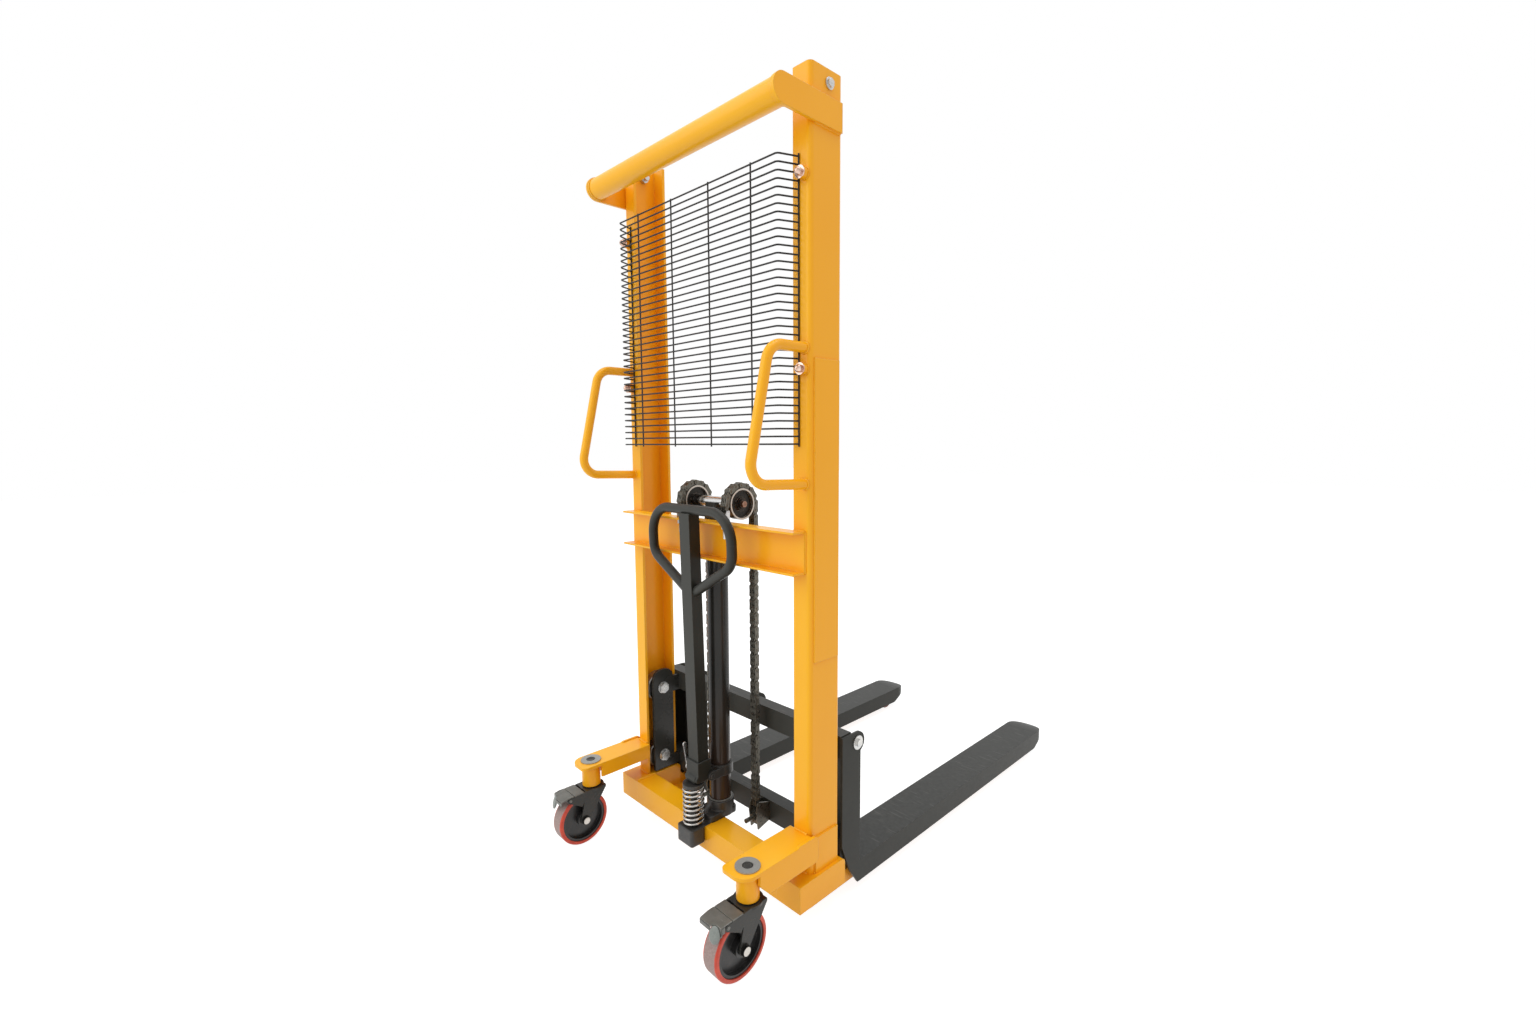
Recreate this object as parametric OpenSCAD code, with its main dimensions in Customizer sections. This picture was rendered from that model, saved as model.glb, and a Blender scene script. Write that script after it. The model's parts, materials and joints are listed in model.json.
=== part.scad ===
// Hand pallet stacker: two channel uprights on a welded base with straddle legs, a hand pumped
// lift cylinder, two leaf chains, and a roller carriage with two channel forks.
// Millimetres. +X is the operator's right, +Y points along the forks, +Z is up.
// Sizes along Y are counted from the rear face of the uprights; in_frame() moves the finished
// pieces so that the origin is on the floor under the middle of the machine.

/* [Mast] */
// Height of the uprights above the floor
mast_h = 1980; // [1700:10:2300]
// Width over both uprights
mast_w = 740; // [680:10:820]
// Depth of an upright channel, front to rear
mast_depth = 108; // [104:1:112]
// Length of a channel flange
flange_w = 52; // [50:1:56]
// Wall thickness of the uprights
mast_wall = 8; // [7:0.5:9]
// Outside corner radius of the uprights
mast_corner_r = 12; // [9:1:16]
// Height of the cross beam's lower edge
mid_beam_z = 866; // [860:2:872]
// Height of the cross beam
mid_beam_h = 100; // [90:2:102]
// Reach of the cross beam's flanges to the rear
mid_beam_reach = 41; // [34:1:46]
// Thickness of the cross beam's plate
mid_beam_t = 5; // [4:0.5:5]

/* [Grab bar] */
// Outside diameter of the grab bar
grab_d = 58; // [40:1:60]
// Distance of the grab bar's axis behind the uprights
grab_back = 86; // [75:1:110]
// Distance of the grab bar's axis below the tops of the uprights
grab_drop = 93; // [81:2:119]
// Height of the ear plates that carry the grab bar
ear_h = 64; // [62:1:70]
// Thickness of the ear plates
ear_t = 8; // [5:1:10]

/* [Side handles] */
// Diameter of the side handle tube
handle_d = 24; // [18:1:28]
// Height of a side handle's upper end
handle_top_z = 1379; // [1370:5:1400]
// Height of a side handle's lower end
handle_low_z = 1074; // [1050:5:1090]
// Reach of a side handle at its upper bend
handle_top_reach = 110; // [96:2:124]
// Reach of a side handle at its lower bend
handle_low_reach = 176; // [160:2:190]

/* [Mesh guard] */
// Height of the lowest guard wire
guard_z0 = 1165; // [1160:5:1200]
// Spacing of the level guard wires
guard_pitch = 17.36; // [15:0.02:17.5]
// Distance of the highest guard wire below the tops of the uprights
guard_drop = 190; // [170:5:220]
// Diameter of the guard wire
guard_wire_d = 4; // [3:0.5:5]
// Distance of the guard's wires behind the uprights
guard_back = 50; // [44:1:60]

/* [Base] */
// Height of the base beam's underside
base_z0 = 67; // [66:1:70]
// Height of the base beam and of the two feet
base_h = 67; // [60:1:68]
// Depth of the base beam
beam_d = 67; // [60:1:67]
// Width of a foot
foot_w = 80; // [76:1:84]
// How far a foot stands out past its upright
foot_out = 15; // [12:1:18]
// How far the base reaches behind the uprights
foot_rear = 50; // [46:1:56]
// Front face of the feet
foot_front = 114; // [112:1:115]

/* [Legs] */
// Width of a straddle leg
leg_w = 80; // [72:1:84]
// Underside of a leg above the floor
leg_z0 = 31; // [28:1:36]
// Distance of the load roller's axle in front of the uprights
load_axle_y = 1215; // [1150:5:1220]
// Radius of a load roller
load_roller_r = 37; // [34:0.5:38]
// Play between a load roller and the cheeks beside it
load_roller_play = 2; // [1:0.5:5]

/* [Casters] */
// Distance of a kingpin from the machine's middle plane
kingpin_x = 347; // [342:1:349]
// Distance of a kingpin behind the uprights
kingpin_back = 179; // [176:1:190]
// Trail of a caster wheel
caster_trail = 38; // [32:1:40]
// Radius of a caster wheel
wheel_r = 75; // [70:1:75]
// Width of a caster wheel
wheel_w = 45; // [38:1:46]
// Height of a caster arm's top face
arm_top_z = 234; // [228:1:240]
// Height of a caster arm
arm_h = 71; // [66:1:72]
// Plate thickness of a caster arm
arm_t = 8; // [6:1:9]
// Reach of a brake pedal from its kingpin
pedal_reach = 124; // [116:1:124]

/* [Forks] */
// Tip of the forks in front of the uprights
fork_tip_y = 1327; // [1320:1:1400]
// Width of a fork
fork_w = 117; // [112:1:119]
// Height of a fork channel
fork_h = 58; // [54:1:60]
// Plate thickness of the forks
fork_t = 6; // [5:0.5:7]
// Top face of the forks when lowered
fork_top_z = 86; // [85:1:90]
// Outer face of the forks from the machine's middle plane
fork_out_x = 372; // [370:1:376]
// Front face of the fork shanks
shank_y = 190; // [188:1:194]
// Height of a fork shank
shank_top_z = 437; // [430:1:450]

/* [Carriage] */
// Rear face of the carriage bars
bar_y = 118; // [117:1:119]
// Depth of the carriage bars
bar_d = 40; // [36:1:41]
// Height of the upper bar
upper_bar_h = 58; // [50:1:62]
// Top face of the upper bar
upper_bar_top = 440; // [436:1:446]
// Height of the lower bar
lower_bar_h = 60; // [50:1:60]
// Underside of the lower bar
lower_bar_z = 112; // [111:1:116]
// Radius of the hanger shaft
hanger_r = 14; // [10:1:15]
// Thickness of the roller plates
roller_plate_t = 10; // [8:1:11]
// Height of the upper mast rollers
upper_roller_z = 404; // [400:1:410]
// Height of the lower mast rollers
lower_roller_z = 184; // [184:1:190]
// Play between a mast roller and the flanges it runs between, each side
mast_roller_gap = 0.4; // [0.3:0.1:0.8]

/* [Lift unit] */
// Distance of the cylinder's axis in front of the uprights' rear face
ram_y = 30; // [30:1:34]
// Outside radius of the cylinder tube
cyl_r = 29.5; // [26:0.5:29.5]
// Wall of the cylinder tube
cyl_wall = 4.5; // [3:0.5:5]
// Radius of the ram
ram_r = 16; // [12:1:18]
// Height of the pulley axle when lowered
pulley_z = 1011; // [1009:1:1020]
// Distance of a chain from the machine's middle plane
chain_x = 94; // [90:1:110]
// Chain pitch
chain_pitch = 19.05; // [18.9:0.05:19.2]
// Number of chain links over half a pulley
wrap_links = 8; // [8:2:10]
// Drop of a chain from its pulley to the carriage, rounded to whole pairs of links
chain_drop = 838; // [820:1:850]
// Number of chain links from a pulley down to its stud
rear_links = 1; // [1:1:1]

/* [Pump] */
// Distance of the pump's axis behind the uprights
pump_back = 64; // [62:1:70]
// Radius of the pump plunger
plunger_r = 9; // [7:0.5:10]
// Radius of the pump spring's wire
spring_wire_r = 3.3; // [2.5:0.1:3.5]
// Mean radius of the pump spring
spring_r = 26.5; // [24:0.5:27]
// Turns of the pump spring
spring_turns = 8; // [6:0.5:8]
// Height of the lever's pivot
pivot_z = 267; // [264:1:272]
// Width of the square lever tube
lever_w = 42; // [36:1:44]
// Depth of the square lever tube
lever_d = 34; // [30:1:36]
// Length of the lever tube
lever_len = 707; // [692:5:717]
// Backward lean of the resting lever, in degrees
lever_lean = 1.5; // [1.4:0.1:2.5]
// Width over the lever's hand loop
loop_w = 360; // [340:5:370]
// Tube diameter of the hand loop
loop_d = 26; // [22:1:28]

/* [Fits] */
// Radial play of a turning or sliding fit
run_fit = 0.05; // [0.03:0.01:0.09]
// Side play between pieces that pass each other
side_gap = 0.5; // [0.3:0.1:1]

/* [Hidden] */
$fn = 48;
joint_gap = 0.1;
joint_half = 0.6;

paint = [0.98, 0.66, 0.10];
black_paint = [0.16, 0.16, 0.15];
zinc = [0.72, 0.73, 0.74];
oily_steel = [0.30, 0.29, 0.27];

mast_out = mast_w / 2;
mast_in = mast_out - flange_w;
web_in = mast_out - mast_wall;
beam_half = mast_out - 14;
foot_top = base_z0 + base_h;
foot_outer = mast_out + foot_out;
foot_inner = foot_outer - foot_w;
caster_y = -kingpin_back;
wheel_y = caster_y - caster_trail;
arm_z0 = arm_top_z - arm_h;
crown_gap = 3;
crown_t = 6;
crown_top = arm_z0 - crown_gap;
crown_z0 = crown_top - crown_t;
kingpin_r = 12.9;
fork_in_x = fork_out_x - fork_w;
fork_z0 = fork_top_z - fork_h;
fork_mid_x = (fork_out_x + fork_in_x) / 2;
leg_top = base_z0;
leg_x0 = fork_mid_x - leg_w / 2;
leg_cheek_t = 8;
load_roller_w = leg_w - 2 * leg_cheek_t - 2 * load_roller_play;
leg_end_y = load_axle_y - load_roller_r - 12;
load_axle_r = 10;
bar_front = bar_y + bar_d;
bar_half = fork_out_x - fork_t - side_gap;
hanger_y = shank_y - 13;
hanger_z = shank_top_z - 28;
plate_out = mast_in - 2;
plate_in = plate_out - roller_plate_t;
roller_y = mast_depth / 2;
mast_roller_r = roller_y - mast_wall - mast_roller_gap;
roller_axle_r = 12;
roller_x0 = plate_out + 5;
roller_x1 = web_in - 13;
link_plate_r = 7.5;
link_plate_t = 3;
leaf_gap = 0.12;
leaf_step = link_plate_t + leaf_gap;
pin_r = 3.2;
pin_gap = 0.1;
inner_slots = [-2, 0, 2];
outer_slots = [-3, -1, 1, 3];
inner_half = 2 * leaf_step + link_plate_t / 2;
outer_half = 3 * leaf_step + link_plate_t / 2;
wrap_step = 180 / wrap_links;
chain_r = chain_pitch / (2 * sin(wrap_step / 2));
sheave_r = chain_r - link_plate_r - 0.3;
front_chain_y = ram_y + chain_r;
rear_chain_y = ram_y - chain_r;
front_links = 2 * round(chain_drop / (2 * chain_pitch));
front_chain_z = pulley_z - front_links * chain_pitch;
rear_chain_z = pulley_z - rear_links * chain_pitch;
pulley_half = outer_half + 2;
axle_r = 12.5;
sleeve_r = axle_r + 3;
gland_top = mid_beam_z + mid_beam_h - 16;
cyl_top = gland_top - 15;
cyl_floor = foot_top + 26;
pump_y = -pump_back;
seat_z = foot_top + 3;
pivot_y = -24;
pusher_y = pump_y - pivot_y;
pusher_r = 12;
cap_play = 0.8;
cap_top = pivot_z + pusher_y * sin(lever_lean) - pusher_r - cap_play;
cap_t = 8;
cap_z0 = cap_top - cap_t;
barrel_top = seat_z + 46;
barrel_r = 15;
socket_in = lever_w / 2 + 0.1;
socket_out = socket_in + 5;
washer_t = mid_beam_t / 2;
guard_half = mast_in;
guard_end_x = mast_out - 32.5;
boss_r = guard_wire_d * 3.175;
boss_x = guard_end_x + guard_wire_d / 2 + side_gap / 2 + boss_r;
handle_x = mast_out - 17;
pedal_pin_y = caster_y - 83;
pedal_pin_z = wheel_r * 2;
yoke_in = wheel_w / 2 + 3.5;
yoke_t = 5;
centre_y = (fork_tip_y + caster_y - pedal_reach) / 2;

// Moves finished pieces from the uprights' rear face to the origin under the middle
module in_frame() translate([0, -centre_y, 0]) children();

// The left hand copy of a right hand piece
module left() mirror([1, 0, 0]) children();

// Both hands of a piece
module both() {
    children();
    mirror([1, 0, 0]) children();
}

// Block between two corners
module block(x0, x1, y0, y1, z0, z1)
    translate([x0, y0, z0]) cube([x1 - x0, y1 - y0, z1 - z0]);

// Round bar along X
module rod_x(x0, x1, y, z, r)
    translate([x0, y, z]) rotate([0, 90, 0]) cylinder(h = x1 - x0, r = r);

// Round bar along Y
module rod_y(x, y0, y1, z, r)
    translate([x, y0, z]) rotate([-90, 0, 0]) cylinder(h = y1 - y0, r = r);

// Round bar along Z
module rod_z(x, y, z0, z1, r)
    translate([x, y, z0]) cylinder(h = z1 - z0, r = r);

// Six sided nut or bolt head along X
module hex_x(x0, x1, y, z, r)
    translate([x0, y, z]) rotate([0, 90, 0]) cylinder(h = x1 - x0, r = r, $fn = 6);

// Six sided nut or bolt head along Z
module hex_z(x, y, z0, z1, r)
    translate([x, y, z0]) cylinder(h = z1 - z0, r = r, $fn = 6);

// Plate square to X, from an outline drawn in Y and Z
module plate_x(x0, x1)
    translate([x0, 0, 0]) rotate([90, 0, 90]) linear_extrude(x1 - x0) children();

// Plate square to Y, from an outline drawn in X and Z
module plate_y(y0, y1)
    translate([0, y1, 0]) rotate([90, 0, 0]) linear_extrude(y1 - y0) children();

// Plate square to Z, from an outline drawn in X and Y
module plate_z(z0, z1)
    translate([0, 0, z0]) linear_extrude(z1 - z0) children();

// Rectangle between two corners with rounded corners
module round_rect(x0, x1, y0, y1, r) {
    translate([x0 + r, y0]) square([x1 - x0 - 2 * r, y1 - y0]);
    translate([x0, y0 + r]) square([x1 - x0, y1 - y0 - 2 * r]);
    for (x = [x0 + r, x1 - r], y = [y0 + r, y1 - r])
        translate([x, y]) circle(r);
}

function unit2(v) = v / norm(v);
function turn(a, b) = atan2(a.x * b.y - a.y * b.x, a.x * b.x + a.y * b.y);

// Round tube along a flat path of points in X and Y, with a bend radius at each inner point.
// A thin raised ring closes each joint between a straight length and a bend.
module bent_tube(points, bends, r) {
    last = len(points) - 1;
    dirs = [for (i = [0:last - 1]) unit2(points[i + 1] - points[i])];
    turns = [for (i = [0:last]) i == 0 || i == last ? 0 : turn(dirs[i - 1], dirs[i])];
    cuts = [for (i = [0:last]) turns[i] == 0 ? 0 : bends[i - 1] * tan(abs(turns[i]) / 2)];
    ends = [for (i = [0:last]) turns[i] == 0 ? 0 : joint_gap];
    for (i = [0:last - 1]) {
        start = points[i] + dirs[i] * (cuts[i] + ends[i]);
        run = norm(points[i + 1] - points[i]) - cuts[i] - cuts[i + 1] - ends[i] - ends[i + 1];
        along(start, dirs[i]) cylinder(h = run, r = r);
    }
    for (i = [1:last - 1]) {
        side = sign(turns[i]);
        before = points[i] - dirs[i - 1] * cuts[i];
        centre = before + side * bends[i - 1] * [-dirs[i - 1].y, dirs[i - 1].x];
        from = atan2(before.y - centre.y, before.x - centre.x);
        slip = atan2(joint_gap, bends[i - 1]);
        along(before - dirs[i - 1] * joint_half, dirs[i - 1])
            cylinder(h = 2 * joint_half, r = r + joint_gap);
        along(points[i] + dirs[i] * (cuts[i] - joint_half), dirs[i])
            cylinder(h = 2 * joint_half, r = r + joint_gap);
        translate([centre.x, centre.y, 0])
            rotate([0, 0, (side > 0 ? from : from - abs(turns[i])) + slip])
                rotate_extrude(angle = abs(turns[i]) - 2 * slip)
                    translate([bends[i - 1], 0]) circle(r);
    }
}

// Puts a piece drawn along Z on a point of the flat path, along a direction
module along(point, dir) translate([point.x, point.y, 0])
    rotate([0, 0, atan2(dir.y, dir.x)]) rotate([0, 90, 0]) children();

// Turns a flat path drawn in Y and Z upright, at one X
module stand_yz(x) translate([x, 0, 0]) rotate([90, 0, 90]) children();

// Outline of an upright's channel, web outside
module mast_section() difference() {
    union() {
        translate([mast_in, 0]) square([flange_w / 2, mast_depth]);
        round_rect(mast_in, mast_out, 0, mast_depth, mast_corner_r);
    }
    translate([mast_in - 1, mast_wall])
        square([flange_w - mast_wall + 1, mast_depth - 2 * mast_wall]);
}

grab_z = mast_h - grab_drop;
stop_y = 61;
stop_z = mast_h - 30;
stop_r = 8;
doubler_t = 4;

// Right upright with its two welded doubler plates
module mast() color(paint) in_frame() difference() {
    union() {
        plate_z(foot_top, mast_h) mast_section();
        block(mast_out, mast_out + doubler_t, mast_corner_r, mast_depth - mast_corner_r, 656, 1356);
        block(mast_out, mast_out + doubler_t + 1, mast_corner_r + 4, mast_depth - mast_corner_r,
            foot_top, foot_top + 90);
    }
    rod_x(web_in - 1, mast_out + 1, stop_y, stop_z, stop_r + 0.2);
}

// Bolts through the tops of the uprights that stop the carriage
module stop_bolts() color(zinc) in_frame() both() {
    rod_x(web_in - 24, mast_out, stop_y, stop_z, stop_r);
    rod_x(mast_out, mast_out + 3, stop_y, stop_z, stop_r + 5);
    hex_x(mast_out + 3, mast_out + 8, stop_y, stop_z, stop_r + 2);
    hex_x(web_in - 12, web_in, stop_y, stop_z, stop_r + 5);
}

stud_r = 6;

// Cross beam: a channel on the rear faces of the uprights, flanges to the rear
module mid_beam() color(paint) in_frame() difference() {
    union() {
        block(-beam_half, beam_half, -mid_beam_t, 0, mid_beam_z, mid_beam_z + mid_beam_h);
        for (z = [mid_beam_z, mid_beam_z + mid_beam_h - mid_beam_t])
            block(-beam_half, beam_half, -mid_beam_reach, 0, z, z + mid_beam_t);
    }
    both() rod_z(chain_x, rear_chain_y, mid_beam_z + mid_beam_h - mid_beam_t - 1,
        mid_beam_z + mid_beam_h + 1, stud_r);
}

// Outline of an ear plate: from the upright's front edge to a round end
module ear_outline() {
    translate([-grab_back, grab_z - ear_h / 2]) square([grab_back + mast_depth - 10, ear_h]);
    translate([-grab_back, grab_z]) circle(ear_h / 2);
}

// Grab bar with the collars and ear plates welded to its ends
module grab_bar() color(paint) in_frame() {
    rod_x(-mast_out, mast_out, -grab_back, grab_z, grab_d / 2);
    both() plate_x(mast_out, mast_out + ear_t) ear_outline();
    both() rod_x(mast_out - 6, mast_out, -grab_back, grab_z, min(grab_d / 2 + 2, ear_h / 2));
}

// Bent tube handle on each upright
module side_handles() color(paint) in_frame() both() difference() {
    stand_yz(handle_x) bent_tube([[0, handle_top_z], [-handle_top_reach, handle_top_z],
        [-handle_low_reach, handle_low_z + 6], [0.6, handle_low_z]], [45, 45], handle_d / 2);
    block(handle_x - handle_d, handle_x + handle_d, 0, 5, handle_low_z - handle_d,
        handle_low_z + handle_d);
}

guard_bend_r = 10;
guard_end_y = -guard_wire_d / 2 - joint_gap;
guard_end_dir = unit2([guard_end_x - guard_half, guard_back + guard_end_y]);
guard_end = [guard_end_x, guard_end_y] - guard_end_dir * (guard_wire_d / 2 + joint_gap);
guard_rows = floor((mast_h - guard_drop - guard_z0) / guard_pitch) + 1;
guard_top = guard_z0 + (guard_rows - 1) * guard_pitch;

// Finger guard: level wires bent forward at both ends, six upright wires
module mesh_guard() color([0.05, 0.05, 0.05]) in_frame() {
    for (i = [0:guard_rows - 1])
        translate([0, 0, guard_z0 + i * guard_pitch])
            bent_tube([[-guard_end.x, guard_end.y], [-guard_half, -guard_back],
                [guard_half, -guard_back], guard_end], [guard_bend_r, guard_bend_r],
                guard_wire_d / 2, $fn = 16);
    for (x = [-1.5, -0.5, 0.5, 1.5])
        rod_z(x * guard_half * 0.48, -guard_back + guard_wire_d + joint_gap, guard_z0 - 6, guard_top + 6,
            guard_wire_d / 2, $fn = 16);
    both() rod_z(guard_end_x, guard_end_y, guard_z0 - 6, guard_top + 6, guard_wire_d / 2,
        $fn = 16);
}

boss_l = boss_r * 1.1;
guard_fix_z = [handle_top_z - 47, guard_top - 40];

// Painted bosses on the uprights that the guard's end wires lie against
module guard_standoffs() color(paint) in_frame() both() for (z = guard_fix_z)
    rod_y(boss_x, -boss_l, 0, z, boss_r);

// Domed nuts and washers on the bosses
module guard_nuts() color(zinc) in_frame() both() for (z = guard_fix_z)
    translate([boss_x, -boss_l, z]) rotate([90, 0, 0]) rotate_extrude() difference() {
        union() {
            square([boss_r + washer_t / 2, washer_t]);
            translate([0, washer_t]) square([boss_r * 0.7, boss_r * 0.3]);
            translate([0, washer_t + boss_r * 0.3]) circle(boss_r * 0.7);
        }
        translate([-20, -20]) square([20, 60]);
        translate([-20, -20]) square([60, 20]);
    }

// Cross tube of the base
module base_beam() color(paint) in_frame()
    block(-foot_inner, foot_inner, -foot_rear, -foot_rear + beam_d, base_z0, foot_top);

// Right foot with the straddle leg welded under it and the load roller's cheeks
module base_leg() color(paint) in_frame() difference() {
    union() {
        plate_x(foot_inner, foot_outer) {
            translate([-foot_rear, base_z0]) square([foot_rear + foot_front, base_h - 12]);
            translate([-foot_rear, base_z0]) square([foot_rear + foot_front - 12, base_h]);
            translate([foot_front - 12, foot_top - 12]) circle(12);
        }
        plate_x(leg_x0, leg_x0 + leg_w) polygon([[-10, leg_top], [20, leg_z0],
            [leg_end_y, leg_z0], [leg_end_y, leg_top]]);
        for (x = [leg_x0, leg_x0 + leg_w - leg_cheek_t])
            plate_x(x, x + leg_cheek_t) {
                translate([leg_end_y - 40, load_roller_r - 22])
                    square([load_axle_y - leg_end_y + 40, 44]);
                translate([load_axle_y, load_roller_r]) circle(22);
            }
        plate_x(fork_mid_x - 4, fork_mid_x + 4)
            polygon([[foot_front, leg_top], [foot_front, leg_top + 38], [foot_front + 38, leg_top]]);
    }
    rod_x(leg_x0 - 1, leg_x0 + leg_w + 1, load_axle_y, load_roller_r, load_axle_r);
}

// Axles of the load rollers
module load_roller_axles() color(zinc) in_frame() both()
    rod_x(leg_x0, leg_x0 + leg_w, load_axle_y, load_roller_r, load_axle_r);

// Load roller under a leg's tip
module load_roller() color([0.75, 0.30, 0.12]) in_frame() translate([fork_mid_x, load_axle_y, load_roller_r])
    rotate([0, 90, 0]) rotate_extrude() {
        half = load_roller_w / 2;
        polygon([[load_axle_r + run_fit, -half], [load_roller_r - 2, -half],
            [load_roller_r, -half + 3], [load_roller_r, half - 3], [load_roller_r - 2, half],
            [load_axle_r + run_fit, half]]);
    }

boss_out_r = kingpin_r + 13.6;
arm_tip_y = caster_y - 46;

// Caster arms: inverted channels with a round boss at the kingpin, outer flange beside the upright
module caster_arms() color(paint) in_frame() both() difference() {
    union() {
        plate_z(arm_top_z - arm_t, arm_top_z) {
            translate([foot_inner, arm_tip_y + 35]) square([foot_w, -arm_tip_y - 35]);
            translate([foot_inner + 15, arm_tip_y]) square([foot_w - 50, 60]);
            translate([foot_inner, arm_tip_y + 15]) square([foot_w - 35, 60]);
            translate([foot_inner + 15, arm_tip_y + 15]) circle(15);
            translate([foot_outer - 35, arm_tip_y + 35]) circle(35);
        }
        plate_x(foot_inner, foot_inner + arm_t)
            translate([caster_y + 14, arm_z0 + 29]) square([-caster_y - 14, arm_h - 30]);
        plate_x(foot_outer - arm_t, foot_outer) {
            polygon([[caster_y + 3, arm_top_z - 1], [caster_y + 3, arm_z0 + 40],
                [caster_y + 30, arm_z0 + 9], [-40, arm_z0 + 9], [-40, arm_top_z - 1]]);
            round_rect(-60, 14, arm_z0 + 9, arm_top_z + 3, 14);
        }
        rod_z(kingpin_x, caster_y, arm_z0, arm_top_z, boss_out_r);
    }
    rod_z(kingpin_x, caster_y, arm_z0 - 1, arm_top_z + 1, kingpin_r);
}

// Kingpins with their heads under the crowns, and the washers on the arms
module kingpin_bolts() color(zinc) in_frame() both() {
    rod_z(kingpin_x, caster_y, crown_z0 - 0.3, arm_top_z - 4, kingpin_r);
    rod_z(kingpin_x, caster_y, crown_z0 - 5.8, crown_z0 - 0.3, kingpin_r + 2.1);
    hex_z(kingpin_x, caster_y, arm_top_z - 4, arm_top_z + 1, kingpin_r * 0.62);
    difference() {
        rod_z(kingpin_x, caster_y, arm_top_z, arm_top_z + 3, boss_out_r + 2.5);
        rod_z(kingpin_x, caster_y, arm_top_z - 1, arm_top_z + 4, kingpin_r);
    }
}

// Outline of a caster fork's side plate
module yoke_outline() {
    polygon([[caster_y + 30, crown_z0], [caster_y + 30, crown_top], [caster_y - 34, crown_top],
        [wheel_y - 14, wheel_r], [wheel_y + 14, wheel_r]]);
    translate([wheel_y, wheel_r]) circle(14);
    polygon([[caster_y - 20, crown_top], [pedal_pin_y + 4, pedal_pin_z + 7.2],
        [pedal_pin_y - 5, pedal_pin_z - 6], [wheel_y - 10, crown_z0 - 34]]);
    translate([pedal_pin_y, pedal_pin_z]) circle(8);
}

// Right caster's fork
module caster_fork() color(black_paint) in_frame() difference() {
    union() {
        plate_z(crown_z0, crown_top) {
            translate([kingpin_x - yoke_in - yoke_t, caster_y - 34])
                square([2 * (yoke_in + yoke_t), 64]);
            translate([kingpin_x, caster_y]) circle(35);
        }
        rod_z(kingpin_x, caster_y, crown_top, arm_z0 - 0.3, 20);
        for (x = [kingpin_x - yoke_in - yoke_t, kingpin_x + yoke_in])
            plate_x(x, x + yoke_t) yoke_outline();
    }
    rod_z(kingpin_x, caster_y, crown_z0 - 1, arm_z0 + 1, kingpin_r + run_fit);
    rod_x(kingpin_x - 50, kingpin_x + 50, wheel_y, wheel_r, 8);
    rod_x(kingpin_x - 50, kingpin_x + 50, pedal_pin_y, pedal_pin_z, 4 + run_fit);
}

tyre_in_r = wheel_r - 10;

// Tyre of the right caster
module caster_tyre() color([0.70, 0.20, 0.10]) in_frame() translate([kingpin_x, wheel_y, wheel_r])
    rotate([0, 90, 0]) rotate_extrude() difference() {
        round_rect(tyre_in_r - 8, wheel_r, -wheel_w / 2, wheel_w / 2, 5);
        translate([tyre_in_r - 9, -wheel_w / 2 - 1]) square([9, wheel_w + 2]);
    }

// Hub of the right caster: rim, web and bearing boss
module caster_hub() color([0.08, 0.08, 0.08]) in_frame() translate([kingpin_x, wheel_y, wheel_r])
    rotate([0, 90, 0]) rotate_extrude() {
        half = wheel_w / 2;
        translate([8 + run_fit, -half - 2]) square([12, wheel_w + 4]);
        translate([18, -7]) square([tyre_in_r - 22, 14]);
        translate([tyre_in_r - 7, -half + 3]) square([7, wheel_w - 6]);
    }

// Axle bolt, nut and washers of the right caster
module caster_axle() color(zinc) in_frame() {
    reach = yoke_in + yoke_t;
    rod_x(kingpin_x - reach - 8, kingpin_x + reach, wheel_y, wheel_r, 8);
    rod_x(kingpin_x + reach, kingpin_x + reach + 2, wheel_y, wheel_r, 13);
    hex_x(kingpin_x + reach + 2, kingpin_x + reach + 8, wheel_y, wheel_r, 12);
    rod_x(kingpin_x - reach - 2, kingpin_x - reach, wheel_y, wheel_r, 13);
    hex_x(kingpin_x - reach - 7, kingpin_x - reach - 2, wheel_y, wheel_r, 12);
}

// Foot pedal of the right caster's brake, on its pin
module brake_pedal() color([0.24, 0.25, 0.26]) in_frame() {
    half = yoke_in - side_gap;
    tip_y = caster_y - pedal_reach;
    rod_x(kingpin_x - yoke_in - yoke_t - 1, kingpin_x + yoke_in + yoke_t + 1, pedal_pin_y,
        pedal_pin_z, 4);
    rod_x(kingpin_x - half, kingpin_x + half, pedal_pin_y, pedal_pin_z, 8);
    plate_x(kingpin_x - half, kingpin_x + half) polygon([[pedal_pin_y, pedal_pin_z + 8],
        [pedal_pin_y - 8, pedal_pin_z + 7], [tip_y, pedal_pin_z - 14], [tip_y, pedal_pin_z - 18],
        [pedal_pin_y - 6, pedal_pin_z + 2]]);
    for (x = [kingpin_x - half, kingpin_x + half - 4])
        plate_x(x, x + 4) polygon([[pedal_pin_y - 4, pedal_pin_z + 6], [tip_y, pedal_pin_z - 16],
            [tip_y, pedal_pin_z - 26], [pedal_pin_y - 6, pedal_pin_z - 6]]);
}

saddle_half = 36;
lug_x = saddle_half + 14;
lug_r = 13;
lug_y = -foot_rear + 22;
cup_top = cyl_floor + 18;
spring_front = pump_y + spring_r + spring_wire_r + 4 * side_gap;

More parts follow.
